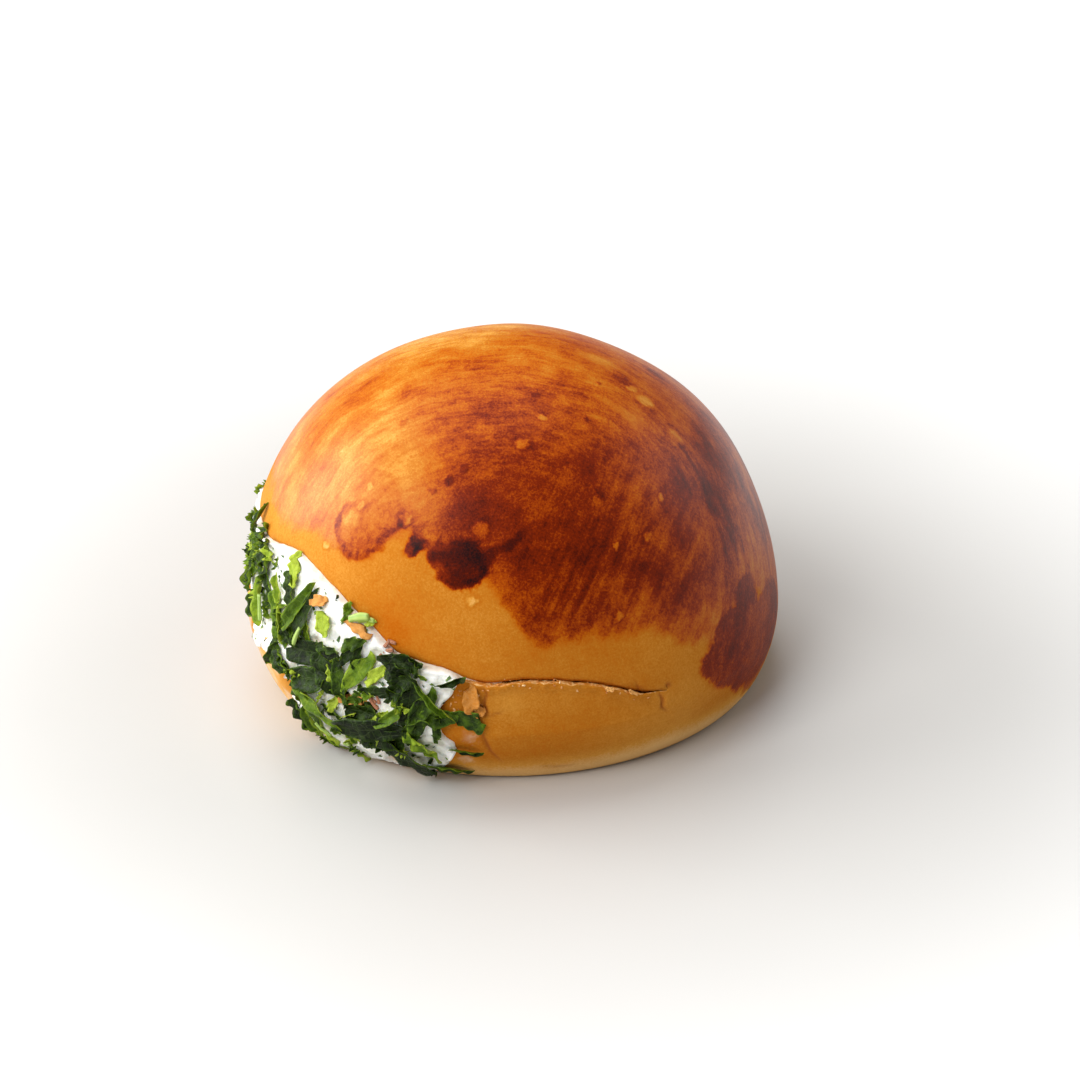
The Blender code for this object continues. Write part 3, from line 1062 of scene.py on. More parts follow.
    def _marked(self, bake: Value) -> Value:
        """The browning with the pools' rims, the burnt drip, the blisters, the bubbles and the pale foot.

        Args:
            bake: The browning without them.

        Returns:
            How brown the crust is, from 0, pale, to 1, burnt.
        """
        plan, share = self.plan, self.plan.shares
        height = self.node("ShaderNodeSeparateXYZ", None, {0: self.here}, "Z")
        low = height.inside(*plan.rim_heights)
        pale = self._outline(plan.pale_pool)
        pale_rim = self._rim(pale, plan.pale_pool) * (share.pale_rim + low * share.low_pale_rim)
        bake = bake + pale.inside(*plan.pale_pool.edge) * share.pale_pool + pale_rim
        bake = bake + self._rim(self.dark, plan.dark_pool) * low * share.dark_rim
        bake = bake + self._outline(plan.burnt).inside(*plan.burnt.edge) * share.burnt
        bake = bake + self._marks(plan.blisters, plan.blister_softness) * share.blister
        wider = tuple(Drip(b.azimuth, b.height, b.radius * plan.bubble_rim) for b in plan.bubbles)
        rims = self._marks(wider, plan.bubble_rim_softness)
        bake = bake + (rims - self.bubbles) * share.bubble_rim
        bake = bake - self.bubbles * (share.bubble + self.mottle * share.bubble_mottle)
        # Paler towards the foot, partly painted light that lifts the shade where the foot curves under.
        return (bake - height.inside(*plan.foot_heights) * share.foot).clamped()

    def _colour(self) -> Value:
        """The crust's colour: the baked tones, the torn crumb, painted shade in creases and the slit, and
        the smear of cream.

        Returns:
            The colour.
        """
        plan = self.plan
        baked = self.colours(self._marked(self._bake()), plan.tones)
        crumb = (self.cloud(plan.crumb, self.here) + 0.5).ramp(*plan.crumb_mix)
        colour = self.blend(self.torn, baked, self.blend(crumb, *plan.crumb_tones))
        # Painted shade: the creases and the slit's walls are darkened towards a shaded brown.
        groove = self.attribute("groove").clamped() * plan.painted_shade_share
        colour = self.blend(groove, colour, plan.painted_shade_tone)
        smear = self._outline(plan.smeared).inside(*plan.smeared.edge)
        thickness = (plan.smear_share + self.blotch * plan.smear_blotch).clamped()
        return self.blend(smear * thickness, colour, plan.smear_tone)

    def _dents(self) -> Value:
        """The fine relief: grain, streaks of the wash, bubbles, blisters and torn crumb.

        Returns:
            The height of the relief.
        """
        share = self.plan.dents
        dents = (self.cloud(self.plan.swell, self.here) + 0.5) * share.swell
        dents = dents + self.grain * (share.grain + self.wash * share.washed_grain)
        dents = dents + self.broad_streak * self.wash * share.streak + self.bubbles * share.bubble
        dents = dents + self._marks(self.plan.blisters, self.plan.blister_dome) * share.blister
        return dents + self.torn * self.ragged * share.torn

    def closed(self) -> Material:
        """The finished material.

        Returns:
            The material.
        """
        plan = self.plan
        sheen = self._patches((plan.left_sheen, plan.right_sheen)) + plan.least_sheen
        rough = plan.matt - self.coat * plan.washed_gloss + self.grain * plan.grain_matt
        return self.finish(
            Base_Color=self._colour(), Roughness=(rough + self.torn * plan.torn_matt).clamped(),
            Normal=self.bump(self._dents(), 0.16, 0.8), IOR=1.36, Specular_IOR_Level=0.06,
            Coat_Weight=(self.coat * sheen).clamped(), Coat_Roughness=0.36, Coat_IOR=1.5,
        )


@dataclass(frozen=True)
class Crease:
    """A crack, wrinkle or torn edge along the skin, with all lengths in millimetres.

    Step is how far the skin on the left of its course stands up, fading over the reach, and dark is how
    strongly painted shade darkens the crust along it.
    """

    points: tuple[Pair, ...]
    width: float
    depth: float
    step: float = 0.0
    reach: float = 2.0
    dark: float = 1.0

    def nearest(self, azimuth: Array, height: Array) -> tuple[Array, Array, Array]:
        """How the skin's points lie to the crease.

        Args:
            azimuth: In degrees.
            height: Heights above the foot.

        Returns:
            The distance in mm, the side (1 on the left, -1 on the right) and the share along the crease.
        """
        ends = np.array([(FORM.arc(place, FRONT), rise) for place, rise in self.points])
        here = np.stack([FORM.arc(azimuth, FRONT), height / MM], -1)
        best = np.full(here.shape[:-1], np.inf)
        side, along = np.zeros_like(best), np.zeros_like(best)
        count = len(ends) - 1
        for number, (start, end) in enumerate(zip(ends[:-1], ends[1:])):
            course = end - start
            length = np.linalg.norm(course)
            share = np.clip(((here - start) @ course) / length ** 2, 0.0, 1.0)
            off = here - (start + share[..., None] * course)
            far = np.linalg.norm(off, axis=-1)
            closer = far < best
            best = np.where(closer, far, best)
            side = np.where(closer, np.sign(course[0] * off[..., 1] - course[1] * off[..., 0]), side)
            along = np.where(closer, (number + share) / count, along)
        return best, side, along


@dataclass
class Row:
    """One row of the bun's mesh: points, painted shade, heights, and whether it is in the cut's wall."""

    points: Array
    groove: Array
    height: Array
    wall: bool = False


@dataclass
class Bun:
    """The bread: one skin that runs from the top down, into the cut, out of it and on to the foot."""

    finish: CrustFinish = field(default_factory=CrustFinish)
    columns: int = 460
    dome_rows: int = 100
    wall_rows: int = 10
    side_rows: int = 26
    foot_rows: int = 26
    base_rows: int = 8
    dense_span: Pair = (224.0, 320.0)
    dense_share: float = 3.0
    dense_fade: float = 8.0
    lip_roll: float = 0.45
    lip_roll_reach: float = 0.9
    ledge: float = 0.75
    ledge_reach: float = 3.0
    ledge_span: Pair = (260.0, 304.0)
    ledge_lumps: float = 0.45
    ledge_fades: Pair = (3.0, 6.0)
    lump_size: float = 1.6
    edge_notch: float = 0.15
    notch_reach: float = 0.25
    roll_fade: float = 4.0
    crease_ends: Pair = (0.02, 0.98)
    shade_width: float = 0.75
    wall_crowding: float = 1.8
    torn_width: float = 0.12
    torn_rows: int = 3
    torn_from: float = 258.0
    torn_fade: float = 4.0
    torn_offset: float = 0.6
    torn_ragged: float = 0.9
    torn_in_wall: float = 0.75
    ragged_size: float = 1.3
    dark_slit_from: float = 250.0
    dark_slit_fade: float = 6.0
    seam_azimuth: float = 60.0
    crumb_span: Pair = (257.0, 304.0)
    crumb_band: Pair = (-0.2, 1.4)
    crumb_share: float = 0.4
    crumb_heap: tuple[float, float, float] = (260.5, 21.5, 3.5)
    wash_limit: Curve = Curve((
        (100, 44), (185, 44), (205, 43), (216, 45.5), (222, 44.5), (233, 45.5), (241, 50.5),
        (246, 50), (256, 45), (262, 45), (267, 43), (271, 38), (276, 33), (286, 33.6),
        (295, 32.6), (306, 30.2), (312, 27), (318, 24), (325, 24), (332, 27), (341, 26),
        (350, 14), (362, 12), (374, 22), (400, 34), (460, 44),
    ))
    creases: tuple[Crease, ...] = (
        Crease(((304.5, 18.4), (305.5, 16.5), (305.2, 14.8), (306.6, 13.2)), 0.45, 0.55, 0.25),
        Crease(((304.5, 18.4), (307.0, 19.0), (309.0, 19.8)), 0.35, 0.30, -0.15),
        Crease(((263.6, 25.6), (264.6, 23.5), (263.8, 21.5), (264.4, 19.4), (262.6, 18.6)),
               0.40, 0.45, 0.45, 3.0),
        Crease(((262.5, 18.8), (265.5, 18.9), (268.5, 19.6)), 0.30, 0.25, 0.15, dark=0.7),
        Crease(((262.6, 16.0), (263.5, 12.9), (264.2, 9.5), (266.5, 5.7)), 0.55, 0.50, 0.35, 3.0),
        Crease(((299.0, 21.6), (299.6, 20.4), (301.2, 19.8)), 0.35, 0.40, 0.35, 1.5),
        Crease(((274.0, 4.2), (279.0, 3.2), (284.0, 3.0)), 0.45, 0.12, 0.10, dark=0.4),
    )

    def _azimuths(self) -> Array:
        """The columns' azimuths, closer together where the slit and the torn places show.

        Returns:
            One azimuth for each column, in order round the bun.
        """
        fine = np.linspace(0.0, 360.0, 3601)
        start, end = self.dense_span
        fade = self.dense_fade
        near = eased((fine - start) / fade + 1.0) * eased((end - fine) / fade + 1.0)
        total = np.concatenate([[0.0], np.cumsum(1.0 + (self.dense_share - 1.0) * near)[:-1]])
        marks = np.arange(self.columns) / self.columns * total[-1]
        turned = np.interp(marks, total, fine)
        return np.where(turned < self.seam_azimuth, turned + 360.0, turned)

    def _lip(self, azimuth: Array) -> Array:
        """The upper lip all round, carried on as a plain line behind the hinge.

        Args:
            azimuth: In degrees.

        Returns:
            The height at each azimuth.
        """
        start, end = FORM.cut_ends
        behind = eased((azimuth - end) / (360.0 + start - end))
        heights = FORM.lip.heights * MM
        return np.where(azimuth <= end, FORM.upper_lip(azimuth), mix(heights[-1], heights[0], behind))

    def _lift(self, azimuth: Array, height: Array, upper: bool) -> tuple[Array, Array]:
        """How the skin is raised at the lips and creased.

        Args:
            azimuth: In degrees.
            height: Heights above the foot.
            upper: Whether this is the upper half.

        Returns:
            How far the skin stands out, in metres, and how strongly painted shade darkens it along the
            creases, from 0 to 1.
        """
        end = FORM.cut_ends[1]
        open_here = FORM.inside_cut(azimuth, self.roll_fade)
        flat = FORM.placed(azimuth, FORM.skin_radius(height), height)
        lumps = noise_at(flat, self.lump_size * MM, 2)
        if upper:
            far = (height - self._lip(azimuth)) / MM
            out = -self.lip_roll * (1.0 - eased(far / self.lip_roll_reach)) * open_here
        else:
            far = (FORM.lower_lip(np.minimum(azimuth, end)) - height) / MM
            first, last = self.ledge_span
            left_fade, right_fade = self.ledge_fades
            on_ledge = eased((azimuth - first) / left_fade) * eased((last - azimuth) / right_fade)
            ledge = self.ledge * (1.0 - eased(far / self.ledge_reach)) * on_ledge
            notch = self.edge_notch * (1.0 - eased(far / self.notch_reach)) * open_here
            out = ledge * (1.0 + self.ledge_lumps * lumps) - notch
        groove = np.zeros_like(out)
        for crease in self.creases:
            away, side, along = crease.nearest(azimuth, height)
            ends = np.sin(math.pi * np.clip(along, *self.crease_ends)) ** 0.5
            raised = crease.step * np.exp(-away / crease.reach) * eased(2.0 * side * away + 0.5) * ends
            out = out - crease.depth * np.exp(-(away / crease.width) ** 2) * ends + raised
            # Painted shade along the crease, strongest on its course.
            shade = crease.dark * np.exp(-(away / (self.shade_width * crease.width)) ** 2) * ends
            groove = np.maximum(groove, shade)
        return out * MM, groove

    def _skin_row(self, azimuth: Array, height: Array, radius: Array, upper: bool) -> Row:
        """A row of the skin.

        Args:
            azimuth: In degrees.
            height: Heights above the foot.
            radius: Plan radii of the plain skin.
            upper: Whether this is the upper half.

        Returns:
            The row.
        """
        lift, groove = self._lift(azimuth, height, upper)
        points = FORM.placed(azimuth, radius, height)
        outward = points - np.array([0.0, 0.0, FORM.waist_height])
        outward /= np.linalg.norm(outward, axis=-1, keepdims=True)
        return Row(points + outward * lift[:, None], groove, height)

    def _dome_turn(self, height: Array) -> Array:
        """The turn at which the dome's outline reaches a height."""
        return np.arcsin(((height - FORM.waist_height) / FORM.dome_rise) ** (0.5 * FORM.dome_power))

    def _dome_row(self, azimuth: Array, turn: Array, upper: bool) -> Row:
        """A row of the dome.

        Args:
            azimuth: In degrees.
            turn: How far round the dome's outline the row runs, from 0 at the waist to a quarter turn.
            upper: Whether this is the upper half.

        Returns:
            The row.
        """
        power = 2.0 / FORM.dome_power
        height = FORM.waist_height + FORM.dome_rise * np.sin(turn) ** power
        return self._skin_row(azimuth, height, FORM.radius * np.cos(turn) ** power, upper)

    def _wall_rows(self, azimuth: Array, lip: Array, low: Array) -> list[Row]:
        """The rows that run into the cut under the upper lip and out of it to the lower one.

        Args:
            azimuth: In degrees.
            lip: The height of the upper lip.
            low: The height of the lower lip.

        Returns:
            The rows.
        """
        inwards = range(1, self.wall_rows + 1)
        outwards = range(self.wall_rows, -1, -1)
        edges = (self._lift(azimuth, lip, True)[0], self._lift(azimuth, low, False)[0])
        rows = []
        for side, steps, out in ((1, inwards, edges[0]), (0, outwards, edges[1])):
            for step in steps:
                depth = np.full_like(azimuth, (step / self.wall_rows) ** self.wall_crowding)
                wall = FORM.cut_wall(np.clip(azimuth, *FORM.cut_ends), depth, side, out * (1.0 - depth))
                rows.append(Row(wall, np.zeros_like(azimuth), lip, True))
        return rows

    def _rows(self, azimuth: Array) -> list[Row]:
        """All rows from just under the top to just outside the middle of the foot.

        Args:
            azimuth: In degrees.

        Returns:
            The rows in order.
        """
        none = np.zeros_like(azimuth)
        lip = self._lip(azimuth)
        low = np.where(self._is_open(azimuth), FORM.lower_lip(np.clip(azimuth, *FORM.cut_ends)), lip)
        rows = []
        for row in range(1, self.dome_rows + 1):
            turn = mix(0.5 * math.pi, self._dome_turn(lip), row / self.dome_rows)
            rows.append(self._dome_row(azimuth, turn, True))
        rows += self._wall_rows(azimuth, lip, low)
        for row in range(1, self.side_rows + 1):
            turn = self._dome_turn(low) * (1.0 - row / self.side_rows)
            rows.append(self._dome_row(azimuth, turn, False))
        for row in range(1, self.foot_rows + 1):
            turn = 0.5 * math.pi * row / self.foot_rows
            drop = math.sin(turn) ** (2.0 / FORM.foot_power)
            height = np.full_like(none, FORM.waist_height * (1.0 - drop))
            rows.append(self._skin_row(azimuth, height, FORM.skin_radius(height), False))
        for row in range(1, self.base_rows):
            radius = FORM.foot_radius * (1.0 - row / self.base_rows)
            rows.append(Row(FORM.placed(azimuth, radius, none), none, none))
        return rows

    @staticmethod
    def _is_open(azimuth: Array) -> Array:
        """Whether the bread is cut at each azimuth."""
        start, end = FORM.cut_ends
        return (azimuth > start) & (azimuth < end)

    def _attributes(self, azimuth: Array, rows: list[Row]) -> dict[str, Array]:
        """What the finish reads from the mesh.

        Args:
            azimuth: In degrees.
            rows: The rows of the mesh.

        Returns:
            How far each point lies above the limit of the wash ("wash", in mm), where the bread is torn
            ("torn") and how strongly painted shade darkens it in the creases and on the slit's walls.
        """
        height = np.array([row.height for row in rows])
        wall = np.array([[row.wall] for row in rows], float)
        is_open = self._is_open(azimuth)
        low = np.where(is_open, FORM.lower_lip(np.clip(azimuth, *FORM.cut_ends)), -1.0)
        far = np.abs(height - low) / MM
        ragged = noise_at(np.array([row.points for row in rows]), self.ragged_size * MM, 2)
        number = np.arange(len(rows))[:, None]
        last_wall = np.flatnonzero(wall)[-1]
        lower_edge = number > last_wall - self.torn_rows
        in_slit = eased((azimuth - self.torn_from) / self.torn_fade) * is_open * (number > last_wall)
        uneven = self.torn_ragged * ragged
        torn = (1.0 - eased(far / self.torn_width - self.torn_offset - uneven)) * in_slit
        torn = np.maximum(torn, wall * lower_edge * (self.torn_in_wall + uneven))
        # Painted shade on the slit's walls, all but their torn lower edge, fading in from dark_slit_from.
        dark = eased((azimuth - self.dark_slit_from) / self.dark_slit_fade)
        shade = wall * (1.0 - lower_edge) * dark
        first = self.wash_limit.places[0]
        limit = self.wash_limit.at(np.where(azimuth < first, azimuth + 360.0, azimuth))
        groove = np.maximum([row.groove for row in rows], shade)
        return {"wash": height / MM - limit, "torn": torn, "groove": groove}

    def build(self) -> Piece:
        """Makes the bun.

        Returns:
            The dressed piece.
        """
        azimuth = self._azimuths()
        rows = self._rows(azimuth)
        points = np.array([row.points for row in rows])
        count = points[..., 0].size
        index = np.arange(count).reshape(points.shape[:2])
        for number, row in enumerate(rows):
            if row.wall:
                index[number] = np.where(self._is_open(azimuth), index[number], index[self.dome_rows - 1])
        index = np.vstack([np.full_like(index[0], count), index, np.full_like(index[0], count + 1)])

        middle, ends = np.zeros(2), np.array([FORM.waist_height + FORM.dome_rise, 0.0])
        every = np.vstack([points.reshape(-1, 3), FORM.placed(middle, middle, ends)])
        attributes = {
            name: np.append(values.ravel(), [values[0, 0], values[-1, 0]])
            for name, values in self._attributes(azimuth, rows).items()
        }
        obj = mesh_piece("bun_crust", every, joined_faces(index, True), self.finish.material(), attributes)
        tidy_mesh(obj)
        return dress(obj, Stand.BREAD)

    def crumbled(self, piece: Piece) -> Array:
        """Where crumbs lie: along the torn edge under the slit, and in a heap beside the mouth.

        Args:
            piece: The bun.

        Returns:
            How thickly each vertex is strewn, from 0 to 1.
        """
        azimuth, height = spots_of(piece)
        under = FORM.lower_lip(np.clip(azimuth, *FORM.cut_ends)) / MM - height
        (low, high), (first, last) = self.crumb_band, self.crumb_span
        edge = (under > low) * (under < high) * (azimuth > first) * (azimuth < last)
        centre, rise, reach = self.crumb_heap
        heap = np.hypot(FORM.arc(azimuth, centre), height - rise) < reach
        return edge * self.crumb_share + heap


@dataclass(frozen=True)
class CreamFinish:
    """Soft white cream with a faint warm shade, finely curdled."""

    tone: Colour = linear(255, 254, 250)
    shade_tone: Colour = linear(250, 246, 234)
    stain_tone: Colour = linear(232, 200, 156)
    least_stain: float = 0.2
    patch_size: float = 3.0
    patch_range: Pair = (0.35, 0.7)
    curds: tuple[float, float, float] = (0.55, 4.0, 0.7)
    relief: Pair = (0.30, 0.8)

    def material(self) -> Material:
        """The cream's material, which reads the attribute "thin" of its mesh.

        Returns:
            The material.
        """
        paint = Paint("soft_cream")
        place = paint.place()
        patches = paint.noise(place, self.patch_size, 3.0)
        curds = paint.noise(place, *self.curds)
        colour = paint.blend(patches.ramp(*self.patch_range), self.tone, self.shade_tone)
        stained = paint.attribute("thin").clamped()
        colour = paint.blend(stained * (self.least_stain + curds * 0.5), colour, self.stain_tone)
        normal = paint.bump(curds, *self.relief)
        return paint.finish(
            Base_Color=colour, Roughness=0.5, Normal=normal, Specular_IOR_Level=0.25,
            Subsurface_Weight=0.35, Subsurface_Radius=(1.0, 0.85, 0.7), Subsurface_Scale=0.8 * MM,
        )


@dataclass
class Cream:
    """The cream: a lumpy coat over the mouth and the crust round it, and the filling inside the bun."""

    finish: CreamFinish = field(default_factory=CreamFinish)
    columns: int = 330
    rows: int = 110
    span: Pair = (132.0, 268.0)
    thickness: float = 0.95
    edge_width: float = 0.9
    sunk: float = -0.7
    lumps: float = 0.80
    lump_size: float = 4.0
    curds: float = 0.34
    curd_size: float = 1.3
    outline_lumps: Pair = (1.1, 4.5)
    left_limit: float = 136.0
    coat_back: float = 0.8
    coat_below: float = 2.5
    coat_above: float = 1.2
    least_height: float = 0.5
    lip_clear: float = 0.1
    thin_shift: float = 0.1
    thin_reach: float = 0.9
    bed_reach: float = 3.0
    leaf_sunk: float = -4.0
    leaf_sunk_reach: float = 1.5
    shallow_hole: float = -0.2
    inside_span: Pair = (112.0, 291.0)
    inside_grid: tuple[int, int] = (12, 80)
    inside_depth: float = 0.92
    inside_starts: Pair = (2.6, 14.0)
    inside_edge: float = -0.3
    inside_gap: float = 0.5
    closed_from: float = 42.0
    closed_fade: float = 12.0
    speck_span: Pair = (188.0, 262.0)
    speck_thin: float = 0.4
    recess: Curve = Curve((
        (168, 1.9), (184, 1.9), (191, 2.2), (206, 2.2), (216, 1.6), (228, 0.9), (244, 0.5), (262, 0.4),
    ))
    foot: Curve = Curve((
        (139, 27), (147, 24), (158, 21), (170, 19), (191, 18.5), (202, 15.5), (208, 17.5),
        (214, 10.5), (219, 2), (247, 1.2), (255, 3), (264, 9),
    ))
    right_limit: Curve = Curve((
        (0, 250.5), (5, 254), (11, 257), (16, 254), (20, 255), (24, 258), (28, 259.5),
    ))
    bare: tuple[tuple[float, float, float, float], ...] = (
        (235, 17.2, 3.2, 1.3), (216, 13, 2.2, 1.6), (211, 16, 1.8, 1.4), (203, 20.5, 2.2, 1.2),
        (243, 3.2, 2, 1), (196, 21, 2.4, 1),
    )

    def coverage(self, azimuth: Array, height: Array) -> Array:
        """How far inside the smear's outline a place lies.

        Args:
            azimuth: In degrees.
            height: Heights above the foot.

        Returns:
            The distances in millimetres, less than 0 where there is no cream.
        """
        place = FORM.placed(azimuth, FORM.skin_radius(height), height)
        depth, size = self.outline_lumps
        ragged = depth * noise_at(place, size * MM, 3)
        high = height / MM
        under_lip = FORM.upper_lip(azimuth) / MM - self.lip_clear + 0.5 * ragged - high
        above_foot = high - self.foot.at(azimuth) + ragged
        left = FORM.arc(azimuth, self.left_limit) + ragged
        right = -FORM.arc(azimuth, self.right_limit.at(high)) + ragged
        inside = np.minimum(np.minimum(under_lip, above_foot), np.minimum(left, right))
        in_mouth = self.in_mouth(azimuth, height)
        for centre, rise, wide, tall in self.bare:
            far = np.hypot(FORM.arc(azimuth, centre) / wide, (high - rise) / tall) - 1.0 + 0.5 * ragged
            hole = far * min(wide, tall)
            hole = np.where(in_mouth > 1.0, np.maximum(hole, self.shallow_hole), hole)
            inside = np.minimum(inside, hole)
        return inside

    def surface(self, azimuth: Array, height: Array) -> Array:
        """How far the cream stands out from the skin.

        Args:
            azimuth: In degrees.
            height: Heights above the foot.

        Returns:
            The distances in millimetres.
        """
        place = FORM.placed(azimuth, FORM.skin_radius(height), height)
        lumps = self.lumps * noise_at(place, self.lump_size * MM, 2)
        curds = self.curds * noise_at(place, self.curd_size * MM, 2)
        share = eased(self.coverage(azimuth, height) / self.edge_width)
        return mix(self.sunk, self.thickness + lumps + curds + self._bed(azimuth, height), share)

    def _bed(self, azimuth: Array, height: Array) -> Array:
        """How far the cream's bed stands out from the skin, in millimetres."""
        return -self.recess.at(azimuth) * eased(self.in_mouth(azimuth, height) / self.bed_reach)

    @staticmethod
    def in_mouth(azimuth: Array, height: Array) -> Array:
        """How far a place lies between the lips, in millimetres, less than 0 on the crust."""
        return np.minimum(FORM.upper_lip(azimuth) - height, height - FORM.lower_lip(azimuth)) / MM

    def carried(self, azimuth: Array, height: Array) -> Array:
        """How far out from the skin a leaf comes to lie, on the cream or the crust, in millimetres."""
        crust = self.leaf_sunk * eased(self.in_mouth(azimuth, height) / self.leaf_sunk_reach)
        return np.maximum(self.surface(azimuth, height), crust)

    def _coat(self) -> tuple[Array, Array, Array]:
        """The coat of cream over the mouth and the crust.

        Returns:
            The points of its inner face and of its outer face, and how thin the cream is there.
        """
        azimuth = np.linspace(*self.span, self.columns)[None, :]
        share = np.linspace(0.0, 1.0, self.rows)[:, None]
        low = np.maximum(self.foot.at(azimuth) - self.coat_below, self.least_height) * MM
        high = FORM.upper_lip(azimuth) + self.coat_above * MM
        height = mix(low, high, share)
        azimuth = np.broadcast_to(azimuth, height.shape)
        out = self.surface(azimuth, height)
        outer = FORM.on_skin(azimuth, height, out * MM)
        inner = FORM.on_skin(azimuth, height, (np.minimum(out, self.sunk) - self.coat_back) * MM)
        thin = 1.0 - eased((out - self._bed(azimuth, height) + self.thin_shift) / self.thin_reach)
        return inner, outer, thin

    def _inside(self) -> tuple[Array, Array]:
        """The filling between the halves, which starts deeper behind the closed slit than in the mouth.

        Returns:
            The points of its lower and of its upper face.
        """
        rows, columns = self.inside_grid
        azimuth = np.linspace(*self.inside_span, columns)[None, :]
        share = np.linspace(0.0, 1.0, rows)[:, None]
        closed = eased((np.abs(azimuth - FORM.mouth_centre) - self.closed_from) / self.closed_fade)
        in_mouth, in_slit = self.inside_starts
        start = mix(in_mouth * MM, in_slit * MM, closed) / FORM.radius
        depth = np.maximum(mix(start, self.inside_depth, share), 0.0)
        azimuth = np.broadcast_to(azimuth, depth.shape)
        edge, gap = self.inside_edge * MM, self.inside_gap * MM
        return tuple(FORM.cut_wall(azimuth, depth, side, edge, gap) for side in (0, 1))

    def flecked(self, piece: Piece) -> Array:
        """Where herb specks lie: on the thick cream at the front.

        Args:
            piece: The cream.

        Returns:
            1 for each vertex that is strewn and 0 for the others.
        """
        thin = np.empty(len(piece.data.vertices), np.float32)
        piece.data.attributes["thin"].data.foreach_get("value", thin)
        azimuth, _ = spots_of(piece)
        first, last = self.speck_span
        return (thin < self.speck_thin) * (azimuth > first) * (azimuth < last) * 1.0

    def build(self) -> Piece:
        """Makes the cream.

        Returns:
            The dressed piece.
        """
        inner, outer, thin = self._coat()
        lower, upper = self._inside()
        faces = shell_faces(inner, outer, 0) + shell_faces(lower, upper, 2 * inner[..., 0].size)
        points = np.vstack([part.reshape(-1, 3) for part in (inner, outer, lower, upper)])
        thin = np.concatenate([thin.ravel(), thin.ravel(), np.zeros(2 * lower[..., 0].size)])
        obj = mesh_piece("cream", points, faces, self.finish.material(), {"thin": thin})
        tidy_mesh(obj)
        return dress(obj, Stand.FILLING)


@dataclass(frozen=True)
class CutShape:
    """What a cut gives a piece: how square and how jagged it is, its fold in degrees and its ruffle."""

    power: float
    jag: float
    fold: float
    ruffle: float


class Cut(Enum):
    """How a piece of parsley was cut, which sets its outline and how it curls."""

    BLADE = CutShape(2.6, 0.035, 20, 0.34)
    FRILL = CutShape(2.6, 0.13, 22, 0.80)
    FOLD = CutShape(3.6, 0.04, 56, 0.25)
    CHIP = CutShape(6.0, 0.05, 12, 0.25)


@dataclass(frozen=True)
class Sprig:
    """One chopped piece: its place, length and width in mm, turn in degrees, cut, brightness and lift."""

    azimuth: float
    height: float
    length: float
    width: float
    turn: float
    cut: Cut
    bright: float
    lift: float


BLADE, FRILL, FOLD, CHIP = Cut

